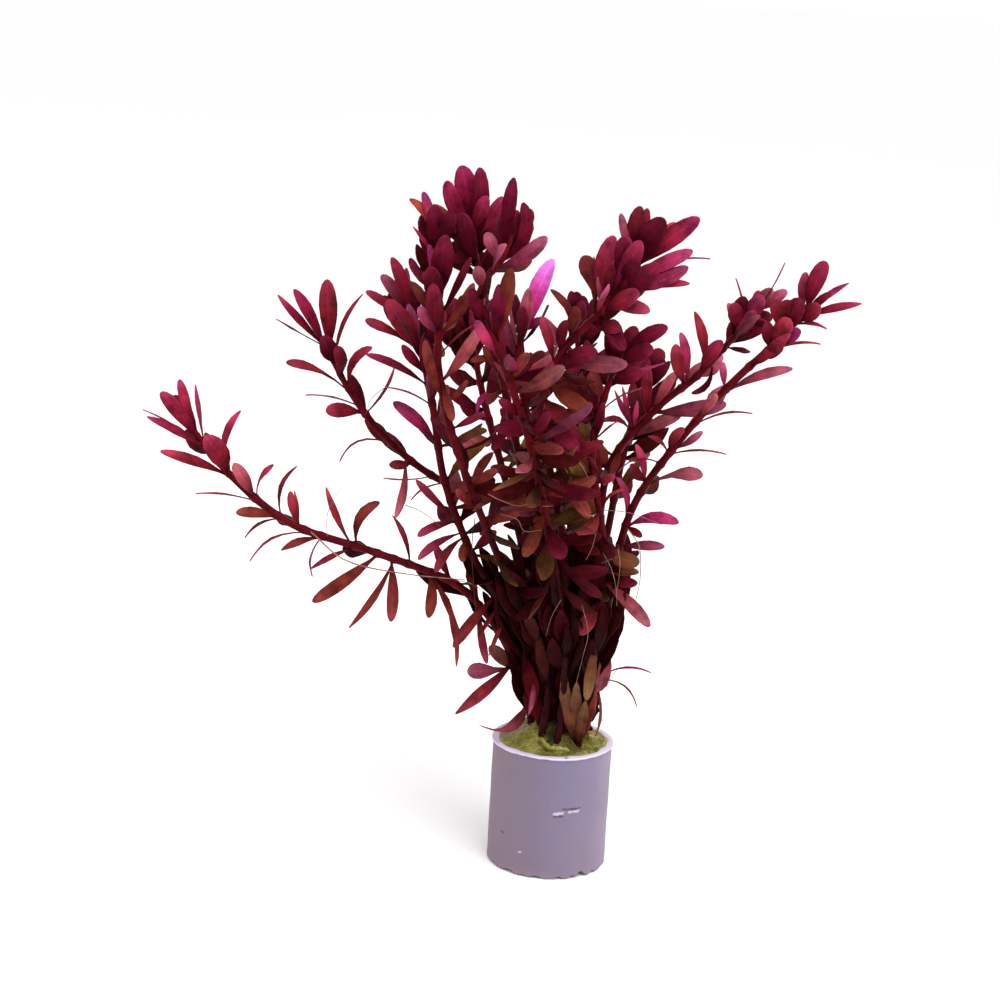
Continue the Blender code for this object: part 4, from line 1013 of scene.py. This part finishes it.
def leafy_shoot(name, route, leaves, blades, roots, dice):
    knots = []
    for distance in sorted(route.nearest(*picture_of(leaf.root)) for leaf in leaves):
        if not knots or distance - knots[-1] > KNOT_SPACE:
            knots.append(distance)
    pieces = [stem_piece(name, route, knots)] + roots
    for leaf in leaves:
        piece = lay_blade(blades[leaf.look[0]], leaf, dice)
        piece.data.materials.append(MATERIALS["leaf"])
        pieces.append(piece)
    shoot = join(pieces, "leafy_" + name)
    bpy.ops.object.shade_smooth()
    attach(shoot, "root")
    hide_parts("shoot_" + name)
    return shoot


# Ceramic ring: a cylinder bored through, cut into bands, chipped along its foot
RING_BANDS = (0.5, 1.3, 2.4, 4.0, 8.0, 14.0, 20.0, 26.0, 31.0, 34.6,
              RING_HEIGHT - LIP_HEIGHT, RING_HEIGHT - LIP_HEIGHT + 0.3)
RING_EDGE = 0.45
# Angles in degrees: edges sharper than the first are rounded, flatter than the second smooth
SHARP_FROM = 40
RING_SMOOTH = 50
CHIPPED_UP = 4.0


def cut_at(heights):
    for height in heights:
        bpy.ops.mesh.select_all(action="SELECT")
        bpy.ops.mesh.bisect(plane_co=(0, 0, height), plane_no=(0, 0, 1))


def ceramic_piece():
    bpy.ops.mesh.primitive_cylinder_add(vertices=RING_SIDES, radius=RING_RADIUS * MM,
                                        depth=RING_HEIGHT * MM,
                                        location=(0, 0, RING_HEIGHT / 2 * MM))
    ring = bpy.context.object
    ring.name = "chipped_ring"
    bpy.ops.object.transform_apply(location=True)
    select_faces(ring, lambda face: abs(face.normal.z) > 0.9)
    bpy.ops.mesh.inset(thickness=RING_WALL * MM)
    bpy.ops.mesh.bridge_edge_loops()
    cut_at([height * MM for height in RING_BANDS])
    bpy.ops.object.mode_set(mode="OBJECT")
    for vertex in ring.data.vertices:
        vertex.co = ring_place(vertex.co / MM) * MM
    bevel = ring.modifiers.new("edges", "BEVEL")
    bevel.width = RING_EDGE * MM
    bevel.segments = 3
    bevel.limit_method = "ANGLE"
    bevel.angle_limit = math.radians(SHARP_FROM)
    choose([ring])
    bpy.ops.object.modifier_apply(modifier="edges")
    bpy.ops.object.shade_smooth_by_angle(angle=math.radians(RING_SMOOTH))
    ring.data.materials.append(MATERIALS["ceramic"])
    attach(ring, "root")
    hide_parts("ceramic_ring")


def select_faces(thing, wanted):
    bpy.ops.object.mode_set(mode="EDIT")
    bpy.ops.mesh.select_mode(type="FACE")
    bpy.ops.mesh.select_all(action="DESELECT")
    bpy.ops.object.mode_set(mode="OBJECT")
    for face in thing.data.polygons:
        face.select = wanted(face)
    bpy.ops.object.mode_set(mode="EDIT")


# How far a bearing is turned from another one, in degrees
def turned_from(bearing, other):
    return abs((math.degrees(bearing) - other + 180) % 360 - 180)


def ring_place(place):
    reach = math.hypot(place.x, place.y)
    bearing = math.atan2(place.y, place.x)
    outer = reach > RING_RADIUS - RING_WALL / 2
    if outer and place.z > RING_HEIGHT - LIP_HEIGHT + 0.2:
        reach += LIP_WIDTH
    if outer:
        reach += 0.05 * math.sin(5 * bearing + 0.4 * place.z) - 0.06
    rise = 0.0
    for centre, width, height in CHIPS:
        away = math.radians(turned_from(bearing, centre)) * RING_RADIUS / (width / 2)
        rise = max(rise, height * max(0.0, 1 - away ** 2))
    rise += 0.30 * abs(math.sin(8.5 * bearing + 0.4)) + 0.16 * abs(math.sin(19 * bearing + 1))
    share = max(0.0, 1 - place.z / CHIPPED_UP) * (1.0 if outer else 0.5)
    return Vector((reach * math.cos(bearing), reach * math.sin(bearing), place.z + rise * share))


# Growing wool: a plug whose lumpy crown spills over the rim, rolled folds and loose fibres
WOOL_SIDES = 72
WOOL_RINGS = 23
WOOL_FOOT = 0.3
WOOL_TOP = RING_HEIGHT + 0.06
WOOL_SMOOTH = 60
# From the bare rim the wool's spill grows over this many degrees, and shows from this share on
SPILL_GROWS = 14
SPILL_SHOWS = 0.2
# Loose fibres are straight pieces in a row
FIBRE_PIECES = 4
# Folds of the wool: thickness in millimetres and readings
WOOL_FOLDS = [(0.8, [(536, 739), (544, 742), (552, 746), (561, 748.5), (569, 753)]),
              (0.8, [(500, 741), (507, 733), (517, 726), (529, 721)]),
              (0.7, [(588, 737), (597, 740), (604, 745), (602, 751)])]
WOOL_HOLLOW = (553, 741)
# Tones of the wool, 0 dark to 1 pale: in general, on the folds and on fibres before they are laid
WOOL_TONE = 0.45
FOLD_TONE = 0.62
FIBRE_TONE = 0.5
# Changes of it: where, how far in millimetres, and how much paler or darker; the darker ones are
# painted shade in the hollow, beside the folds and round the stems' feet
WOOL_TONES_AND_SHADE = [((534, 747), 2.6, 0.24), ((545, 747), 1.2, -0.30), ((552, 736), 1.8, -0.34),
              ((501, 740), 4.4, 0.55), ((507, 734), 4.4, 0.50), ((516, 728), 4.4, 0.50),
              ((602, 745), 3.6, 0.45), ((596, 733), 4.4, 0.55), ((608, 736), 3.6, 0.45),
              ((556, 718), 6.0, -0.35), ((574, 748), 2.4, -0.12), ((528, 725), 3.6, 0.45)]


def wool_spill(x, y):
    bearing = math.atan2(y, x)
    share = held((turned_from(bearing, BARE_RIM[0]) - BARE_RIM[1]) / SPILL_GROWS)
    ragged = 0.14 * math.sin(7 * bearing + 1) + 0.10 * math.sin(17 * bearing) - 0.12
    return share * (1.0 + ragged)


def lumpy_height(x, y):
    hollow = place_on_wool(*WOOL_HOLLOW)
    lumps = 0.34 * math.sin(1.1 * x + 0.5 * y + 0.7) * math.sin(0.9 * y - 0.4 * x)
    lumps += 0.22 * math.sin(2.3 * x + 1.3 * y) * math.cos(1.9 * y - 1.1 * x + 0.5)
    lumps += 0.10 * math.sin(4.7 * x - 2.2 * y + 1.0) * math.sin(4.1 * y + 1.7 * x)
    away = math.hypot(x - hollow.x, (y - hollow.y) * 0.8)
    edge = 1.3 * min(1.0, math.hypot(x, y) / wool_radius()) ** 6
    inside = wool_height(x, y) - 0.3 + edge + lumps - 1.6 * math.exp(-(away / 2.2) ** 2)
    over = held((math.hypot(x, y) - wool_radius() + 1.6) / 1.6) * min(1.0, wool_spill(x, y))
    return inside + (max(inside, RING_HEIGHT + WOOL_MAT + 0.5 * lumps) - inside) * over


# Tone of the wool at a place, with painted shade in its hollow, beside the folds and round the stems'
# feet
def wool_tone_and_shade(place):
    tone = WOOL_TONE
    for reading, reach, change in WOOL_TONES_AND_SHADE:
        away = (Vector(place[:2]) - Vector(place_on_wool(*reading)[:2])).length
        tone += change * math.exp(-(away / reach) ** 2)
    return held(tone)


def wool_plug():
    bpy.ops.mesh.primitive_cylinder_add(vertices=WOOL_SIDES, radius=wool_radius() * MM,
                                        depth=(WOOL_TOP - WOOL_FOOT) * MM,
                                        location=(0, 0, (WOOL_TOP + WOOL_FOOT) / 2 * MM))
    plug = bpy.context.object
    plug.name = "wool_plug"
    bpy.ops.object.transform_apply(location=True)
    select_faces(plug, lambda face: face.normal.z > 0.9)
    bpy.ops.mesh.extrude_region_move(TRANSFORM_OT_translate={"value": (0, 0, 0.1 * MM)})
    for _ in range(WOOL_RINGS - 1):
        bpy.ops.mesh.inset(thickness=wool_radius() / WOOL_RINGS * MM)
    bpy.ops.mesh.poke()
    bpy.ops.object.mode_set(mode="OBJECT")
    for vertex in plug.data.vertices:
        x, y, z = vertex.co / MM
        spill = wool_spill(x, y)
        if z > WOOL_TOP + 0.05:
            share = min(1.0, math.hypot(x, y) / wool_radius())
            wider = 1 + WOOL_SPILL * spill / wool_radius() * share
            x, y = x * wider, y * wider
            z = lumpy_height(x, y)
            if math.hypot(vertex.co.x, vertex.co.y) > wool_radius() * 0.99 * MM:
                z = WOOL_TOP + 0.04 if spill > SPILL_SHOWS else z
        elif z > WOOL_TOP - 0.5 and spill <= SPILL_SHOWS:
            z = lumpy_height(x, y) - 0.1
        vertex.co = Vector((x, y, z)) * MM
    plug.data.materials.append(MATERIALS["wool"])
    add_tones(plug, [wool_tone_and_shade(vertex.co / MM) for vertex in plug.data.vertices])
    return plug


def add_tones(thing, values):
    tone = thing.data.attributes.new("tone", "FLOAT", "POINT")
    tone.data.foreach_set("value", values)


def wool_fold(thick, readings):
    places = smooth_line([place_on_wool(*reading) for reading in readings], 0.5)
    places = [Vector((place.x, place.y, lumpy_height(place.x, place.y) - thick * 0.05))
              for place in places]
    last = len(places) - 1
    radii = [thick * (0.3 + 0.6 * math.sin(math.pi * (0.08 + 0.84 * i / last)) ** 0.5
                      + 0.07 * math.sin(i * 1.7)) for i in range(last + 1)]
    fold = drawn_line("wool_fold", places, radii, 3, lambda height: (0.5, 0.5, 0.5))
    fold.data.materials.append(MATERIALS["wool"])
    add_tones(fold, [FOLD_TONE] * len(fold.data.vertices))
    return fold


# One fibre, modelled once, with three sides
def wool_fibre():
    bpy.ops.mesh.primitive_cylinder_add(vertices=3, radius=1.0, depth=1.0, location=(0, 0, 0.5))
    fibre = bpy.context.object
    fibre.name = "wool_fibre"
    bpy.ops.object.transform_apply(location=True)
    bpy.ops.object.mode_set(mode="EDIT")
    cut_at([step / FIBRE_PIECES for step in range(1, FIBRE_PIECES)])
    bpy.ops.object.mode_set(mode="OBJECT")
    fibre.data.materials.append(MATERIALS["wool"])
    add_tones(fibre, [FIBRE_TONE] * len(fibre.data.vertices))
    return fibre


def lay_fibre(fibre, dice):
    reach = (wool_radius() + 1.2) * math.sqrt(dice.random())
    bearing = dice.uniform(0, math.tau)
    x, y = reach * math.cos(bearing), reach * math.sin(bearing)
    heading = dice.gauss(0.3, 0.9)
    bend = dice.uniform(-0.25, 0.25)
    length = dice.uniform(2.0, 5.5)
    lift = dice.uniform(0.0, 0.45) if dice.random() < 0.85 else dice.uniform(0.5, 1.6)
    thin = dice.uniform(0.040, 0.085)
    line = []
    for step in range(FIBRE_PIECES + 1):
        height = lumpy_height(x, y) + 0.05 + lift * math.sin(math.pi * step / FIBRE_PIECES)
        line.append(Vector((x, y, height)))
        x += math.cos(heading) * length / FIBRE_PIECES
        y += math.sin(heading) * length / FIBRE_PIECES
        heading += bend
        if math.hypot(x, y) > wool_radius() - 0.3 + 1.5 * wool_spill(x, y):
            x, y = x * 0.92, y * 0.92
    thing = own_copy(fibre)
    for vertex in thing.data.vertices:
        step = round(vertex.co.z * FIBRE_PIECES)
        along = (line[min(step + 1, FIBRE_PIECES)] - line[max(step - 1, 0)]).normalized()
        side = along.cross(Vector((0, 0, 1))).normalized()
        up = side.cross(along)
        thick = thin * (0.5 if step in (0, FIBRE_PIECES) else 1.0)
        vertex.co = (line[step] + side * vertex.co.x * thick + up * vertex.co.y * thick) * MM
    tone = held(wool_tone_and_shade(line[2]) + dice.uniform(-0.25, 0.30))
    thing.data.attributes["tone"].data.foreach_set("value", [tone] * len(thing.data.vertices))
    return thing


def growing_wool():
    dice = random.Random(WOOL_SEED)
    fibre = wool_fibre()
    pieces = [wool_plug()] + [wool_fold(thick, readings) for thick, readings in WOOL_FOLDS]
    pieces += [lay_fibre(fibre, dice) for _ in range(WOOL_FIBRES)]
    bpy.data.objects.remove(fibre)
    wool = join(pieces, "fibrous_wool")
    bpy.ops.object.shade_smooth_by_angle(angle=math.radians(WOOL_SMOOTH))
    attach(wool, "root")
    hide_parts("growing_wool")


# Materials
def new_material(name, finish):
    material = bpy.data.materials.new(name)
    material.use_nodes = True
    tree = material.node_tree
    tree.nodes.clear()
    output = tree.nodes.new("ShaderNodeOutputMaterial")
    link(tree, finish(tree), output.inputs["Surface"])
    return material


def node(tree, kind, **values):
    made = tree.nodes.new(kind)
    for key, value in values.items():
        if hasattr(made, key):
            setattr(made, key, value)
        else:
            made.inputs[key].default_value = value
    return made


def link(tree, start, end):
    tree.links.new(start, end)


# A socket takes a number, a colour or what another node gives
def feed(tree, socket, value):
    if isinstance(value, (int, float)):
        socket.default_value = value
    elif isinstance(value, tuple):
        socket.default_value = (*value, 1.0)
    else:
        link(tree, value, socket)


def attribute(tree, name, kind):
    return node(tree, "ShaderNodeAttribute", attribute_name=name).outputs[kind]


def object_place(tree):
    return tree.nodes.new("ShaderNodeTexCoord").outputs["Object"]


def split(tree, place):
    made = tree.nodes.new("ShaderNodeSeparateXYZ")
    link(tree, place, made.inputs[0])
    return made.outputs


def ramp(tree, value, stops):
    made = tree.nodes.new("ShaderNodeValToRGB")
    bar = made.color_ramp
    while len(bar.elements) < len(stops):
        bar.elements.new(0.5)
    for element, (place, colour) in zip(bar.elements, stops):
        element.position = place
        element.color = (*colour, 1.0)
    link(tree, value, made.inputs["Fac"])
    return made.outputs["Color"]


# From one value at the start to another at the end, level outside
def fade(tree, value, start, end, first, last):
    made = tree.nodes.new("ShaderNodeMapRange")
    for key, number in (("From Min", start), ("From Max", end), ("To Min", first),
                        ("To Max", last)):
        made.inputs[key].default_value = number
    link(tree, value, made.inputs["Value"])
    return made.outputs["Result"]


def mix_colour(tree, share, first, second, blend="MIX"):
    made = node(tree, "ShaderNodeMix", data_type="RGBA", blend_type=blend,
                clamp_result=blend == "MULTIPLY")
    for number, value in ((0, share), (6, first), (7, second)):
        feed(tree, made.inputs[number], value)
    return made.outputs[2]


def maths(tree, operation, *values):
    made = node(tree, "ShaderNodeMath", operation=operation)
    for socket, value in zip(made.inputs, values):
        feed(tree, socket, value)
    return made.outputs[0]


def noise(tree, scale, detail=3.0, roughness=0.55):
    made = node(tree, "ShaderNodeTexNoise", Scale=scale, Detail=detail, Roughness=roughness)
    link(tree, object_place(tree), made.inputs["Vector"])
    return made.outputs["Fac"]


def bumped(tree, height, strength, distance=0.0003):
    made = node(tree, "ShaderNodeBump", Strength=strength, Distance=distance)
    link(tree, height, made.inputs["Height"])
    return made.outputs["Normal"]


def surface(tree, colour, roughness, specular, normal=None, tint=(1.0, 1.0, 1.0)):
    made = node(tree, "ShaderNodeBsdfPrincipled", Roughness=roughness)
    made.inputs["Specular IOR Level"].default_value = specular
    made.inputs["Specular Tint"].default_value = (*tint, 1.0)
    link(tree, colour, made.inputs["Base Color"])
    if normal is not None:
        link(tree, normal, made.inputs["Normal"])
    return made.outputs[0]


# Leaf: its own colours, paler below, with a middle rib, slanting veins and a pale edge that is a
# painted highlight
LEAF_UNDER = (1.1, 1.4, 1.7)
LEAF_VEIN = (1.25, 1.5, 1.5)
LEAF_EDGE_SHEEN = (2.2, 3.0, 3.4)
LEAF_GLOW = (1.75, 1.0, 1.4)
LEAF_SHINE = (1.0, 0.14, 0.28)
VEINS = 11.0
VEIN_SLANT = 9.0


def leaf_finish(tree):
    own = attribute(tree, "leaf_colour", "Color")
    under = attribute(tree, "under", "Fac")
    blade = node(tree, "ShaderNodeUVMap", uv_map="blade")
    x, y = split(tree, blade.outputs["UV"])[:2]
    off = maths(tree, "ABSOLUTE", maths(tree, "SUBTRACT", x, 0.5))
    paler = mix_colour(tree, under, own, LEAF_UNDER, "MULTIPLY")
    rib = fade(tree, off, 0.02, 0.07, 1.0, 0.0)
    slant = maths(tree, "SUBTRACT", maths(tree, "MULTIPLY", y, VEINS),
                  maths(tree, "MULTIPLY", off, VEIN_SLANT))
    veins = maths(tree, "ABSOLUTE", maths(tree, "SINE", maths(tree, "MULTIPLY", slant, math.pi)))
    veins = maths(tree, "SUBTRACT", 1.0, maths(tree, "POWER", veins, 0.4))
    lines = maths(tree, "MAXIMUM", maths(tree, "MULTIPLY", rib, 0.8),
                  maths(tree, "MULTIPLY", veins, 0.35))
    veined = mix_colour(tree, lines, paler, LEAF_VEIN, "MULTIPLY")
    # The pale edge is a painted highlight of the sheen along the leaf's margin
    edged = mix_colour(tree, fade(tree, off, 0.40, 0.50, 0.0, 0.25), veined, LEAF_EDGE_SHEEN, "MULTIPLY")
    patches = ramp(tree, noise(tree, 240.0, 4.0, 0.6),
                   [(0.30, (0.48, 0.48, 0.48)), (0.52, (1.0, 1.0, 1.0)),
                    (0.75, (1.45, 1.32, 1.28))])
    patched = mix_colour(tree, 1.0, edged, patches, "MULTIPLY")
    relief = bumped(tree, maths(tree, "ADD", lines, noise(tree, 700.0)), strength=0.30)
    skin = surface(tree, patched, roughness=0.42, specular=0.06, normal=relief, tint=LEAF_SHINE)
    glow = node(tree, "ShaderNodeBsdfTranslucent")
    link(tree, mix_colour(tree, 1.0, patched, LEAF_GLOW, "MULTIPLY"), glow.inputs["Color"])
    blend = node(tree, "ShaderNodeMixShader", Fac=0.30)
    link(tree, skin, blend.inputs[1])
    link(tree, glow.outputs[0], blend.inputs[2])
    return blend.outputs[0]


STEM_SHINE = (1.0, 0.3, 0.4)


def stem_finish(tree):
    streak = noise(tree, 320.0)
    patches = ramp(tree, streak, [(0.3, (0.45, 0.45, 0.45)), (0.75, (1.6, 1.5, 1.5))])
    own = attribute(tree, "leaf_colour", "Color")
    streaked = mix_colour(tree, 1.0, own, patches, "MULTIPLY")
    return surface(tree, streaked, roughness=0.45, specular=0.08,
                   normal=bumped(tree, streak, strength=0.35), tint=STEM_SHINE)


# A soft-edged mark on the ring's front, from one reading of the picture to another
MARK_GRAIN = 1100.0
MARK_WAVER = 0.9


def front_mark(tree, place, start, end, half):
    low = place_in_picture(*start, -RING_RADIUS)
    high = place_in_picture(*end, -RING_RADIUS)
    slope = (high.z - low.z) / (high.x - low.x)
    rough = node(tree, "ShaderNodeTexNoise", Scale=MARK_GRAIN, Detail=2.0)
    link(tree, place, rough.inputs["Vector"])
    waver = node(tree, "ShaderNodeVectorMath", operation="MULTIPLY_ADD")
    link(tree, rough.outputs["Color"], waver.inputs[0])
    waver.inputs[1].default_value = [MARK_WAVER * MM] * 3
    link(tree, place, waver.inputs[2])
    x, y, z = split(tree, waver.outputs[0])
    line = maths(tree, "MULTIPLY", maths(tree, "SUBTRACT", x, low.x * MM), slope)
    off = maths(tree, "SUBTRACT", maths(tree, "SUBTRACT", z, line), low.z * MM)
    thin = fade(tree, maths(tree, "ABSOLUTE", off), half * 0.4 * MM, half * MM, 1.0, 0.0)
    centre = (low.x + high.x) / 2 * MM
    reach = (high.x - low.x) / 2 * MM
    aside = maths(tree, "ABSOLUTE", maths(tree, "SUBTRACT", x, centre))
    ends = fade(tree, aside, reach * 0.7, reach, 1.0, 0.0)
    front = maths(tree, "LESS_THAN", y, 0.0)
    return maths(tree, "MULTIPLY", front, maths(tree, "MULTIPLY", thin, ends))


# Marks on the ring's front: reading of one end and the other, half thickness, dark or light. The
# light lines are painted highlights on the edges of real scratches, the dark ones painted shade in
# their grooves
SCRATCHES = [((554, 813), (566, 813), 0.55, "light"), ((554, 816), (566, 816), 0.35, "dark"),
             ((563, 809), (583, 810), 0.35, "dark"), ((569, 812), (582, 813), 0.40, "light"),
             ((501, 838), (505, 838), 0.35, "dark"), ((519, 853), (523, 853), 0.35, "light"),
             ((566, 757), (570, 757), 0.30, "dark")]
MARK_HIGHLIGHT_AND_SHADE = {"light": (0.50, 0.43, 0.52), "dark": (0.05, 0.03, 0.06)}
# Ceramic from the ring's left side to its right, with painted shade on its left and middle and
# painted light on its right side, then its warm patches, specks, rim and foot
CERAMIC_BODY_AND_SIDE_LIGHT = [(0.06, (0.195, 0.145, 0.180)), (0.36, (0.160, 0.125, 0.180)),
                (0.62, (0.155, 0.132, 0.215)), (0.86, (0.185, 0.155, 0.235)),
                (1.00, (0.260, 0.215, 0.300))]
# The rim's pale colour fades in between these depths below the top, and the foot's dust fades out
RIM_FROM = 0.75
RIM_TO = 0.35
FOOT_DUST = 3.0
CERAMIC_WARM = (0.200, 0.140, 0.170)
CERAMIC_SPECK = (0.09, 0.065, 0.09)
CERAMIC_RIM = (0.62, 0.54, 0.72)
CERAMIC_FOOT = (0.26, 0.18, 0.22)


def ceramic_finish(tree):
    place = object_place(tree)
    x, y, z = split(tree, place)
    # Across the ring from left to right: its colour with painted shade on the left and middle and
    # painted light on the right side
    aside = maths(tree, "ADD", maths(tree, "MULTIPLY", x, 0.5 / (RING_RADIUS * MM)),
                  maths(tree, "MULTIPLY", noise(tree, 60.0), 0.16))
    body = ramp(tree, maths(tree, "ADD", aside, 0.42), CERAMIC_BODY_AND_SIDE_LIGHT)
    warm = ramp(tree, noise(tree, 45.0, 2.0), [(0.40, (0.0, 0.0, 0.0)), (0.70, (0.5, 0.5, 0.5))])
    mixed = mix_colour(tree, warm, body, CERAMIC_WARM)
    grain = noise(tree, 1400.0, 5.0, 0.7)
    specks = ramp(tree, grain, [(0.0, (1, 1, 1)), (0.34, (1, 1, 1)), (0.40, (0, 0, 0))])
    mixed = mix_colour(tree, maths(tree, "MULTIPLY", specks, 0.45), mixed, CERAMIC_SPECK)
    wavy = maths(tree, "MULTIPLY", maths(tree, "SUBTRACT", noise(tree, 160.0), 0.5), 1.6 * MM)
    rim = fade(tree, maths(tree, "ADD", z, wavy), (RING_HEIGHT - RIM_FROM) * MM,
               (RING_HEIGHT - RIM_TO) * MM, 0.0, 1.0)
    mixed = mix_colour(tree, rim, mixed, CERAMIC_RIM)
    foot = fade(tree, z, 0.0, FOOT_DUST * MM, 0.40, 0.0)
    mixed = mix_colour(tree, foot, mixed, CERAMIC_FOOT)
    height = maths(tree, "MULTIPLY", grain, 0.25)
    # Scratches: the light marks paint highlights on their edges and the dark ones paint shade in
    # them, and the dark ones also dent the surface
    for start, end, half, kind in SCRATCHES:
        mark = front_mark(tree, place, start, end, half)
        mixed = mix_colour(tree, maths(tree, "MULTIPLY", mark, 0.85), mixed, MARK_HIGHLIGHT_AND_SHADE[kind])
        if kind == "dark":
            height = maths(tree, "SUBTRACT", height, mark)
    return surface(tree, mixed, roughness=0.62, specular=0.3,
                   normal=bumped(tree, height, strength=0.45))


# Wool from its dark tones, which include painted shade, to its pale folds
WOOL_COLOURS = [(0.05, (0.036, 0.028, 0.010)), (0.36, (0.120, 0.105, 0.020)),
                (0.58, (0.270, 0.250, 0.040)), (0.68, (0.330, 0.300, 0.095)),
                (0.82, (0.390, 0.325, 0.205))]


def wool_finish(tree):
    tone = attribute(tree, "tone", "Fac")
    clump = maths(tree, "MULTIPLY", maths(tree, "SUBTRACT", noise(tree, 260.0, 4.0), 0.5), 0.9)
    colours = ramp(tree, maths(tree, "ADD", tone, clump), WOOL_COLOURS)
    relief = bumped(tree, noise(tree, 1200.0, 4.0), strength=0.6, distance=0.0005)
    return surface(tree, colours, roughness=0.9, specular=0.15, normal=relief)


def floor_finish(tree):
    colours = ramp(tree, noise(tree, 2.0), [(0.0, (0.94, 0.94, 0.94)), (1.0, (0.96, 0.96, 0.96))])
    return surface(tree, colours, roughness=0.9, specular=0.0)


# Stage, light and camera
def stage():
    bpy.ops.mesh.primitive_plane_add(size=80.0, location=(0, 0, 0))
    floor = bpy.context.object
    floor.name = "floor"
    floor.data.materials.append(MATERIALS["floor"])


def soft_light(name, place, target, size, power, colour):
    light = bpy.data.lights.new(name, "AREA")
    light.shape = "SQUARE"
    light.size = size
    light.energy = power
    light.color = colour
    lamp = bpy.data.objects.new(name, light)
    lamp.location = place
    lamp.rotation_euler = (Vector(target) - Vector(place)).to_track_quat("-Z", "Y").to_euler()
    bpy.context.scene.collection.objects.link(lamp)


def lights():
    world = bpy.data.worlds.new("studio")
    bpy.context.scene.world = world
    world.use_nodes = True
    back = world.node_tree.nodes["Background"]
    back.inputs["Color"].default_value = (1.0, 0.99, 1.0, 1.0)
    back.inputs["Strength"].default_value = 1.05
    soft_light("key", place=(0.35, -0.55, 0.95), target=(0, 0, 0.1), size=0.9, power=11.0,
               colour=(1.0, 0.97, 0.98))


def camera():
    view = bpy.data.cameras.new("camera")
    view.sensor_width = FILM_WIDTH
    view.lens = FILM_WIDTH * PICTURE_DISTANCE / PICTURE_WIDTH
    seat = bpy.data.objects.new("camera", view)
    seat.location = Vector(EYE) * MM
    seat.rotation_euler = (EYE_AXES @ Matrix.Rotation(math.pi / 2, 3, "X")).to_euler()
    bpy.context.scene.collection.objects.link(seat)
    bpy.context.scene.camera = seat
    bpy.context.scene.view_settings.view_transform = "Standard"
    bpy.context.scene.view_settings.look = "None"


FINISHES = {"leaf": leaf_finish, "stem": stem_finish, "ceramic": ceramic_finish,
            "wool": wool_finish, "floor": floor_finish}
MATERIALS = {name: new_material(name, finish) for name, finish in FINISHES.items()}

stage()
lights()
camera()
ceramic_piece()
growing_wool()

routes, plan = plan_shoots()
blades = {kind: leaf_blade("blade_" + kind, outline) for kind, outline in BLADES.items()}
for number, name in enumerate(STEMS):
    roots = [root_piece(count, *root[1:]) for count, root in enumerate(ROOTS) if root[0] == name]
    leafy_shoot(name, routes[name], plan[name], blades, roots, random.Random(BLADE_SEED + number))
for blade in blades.values():
    bpy.data.objects.remove(blade)
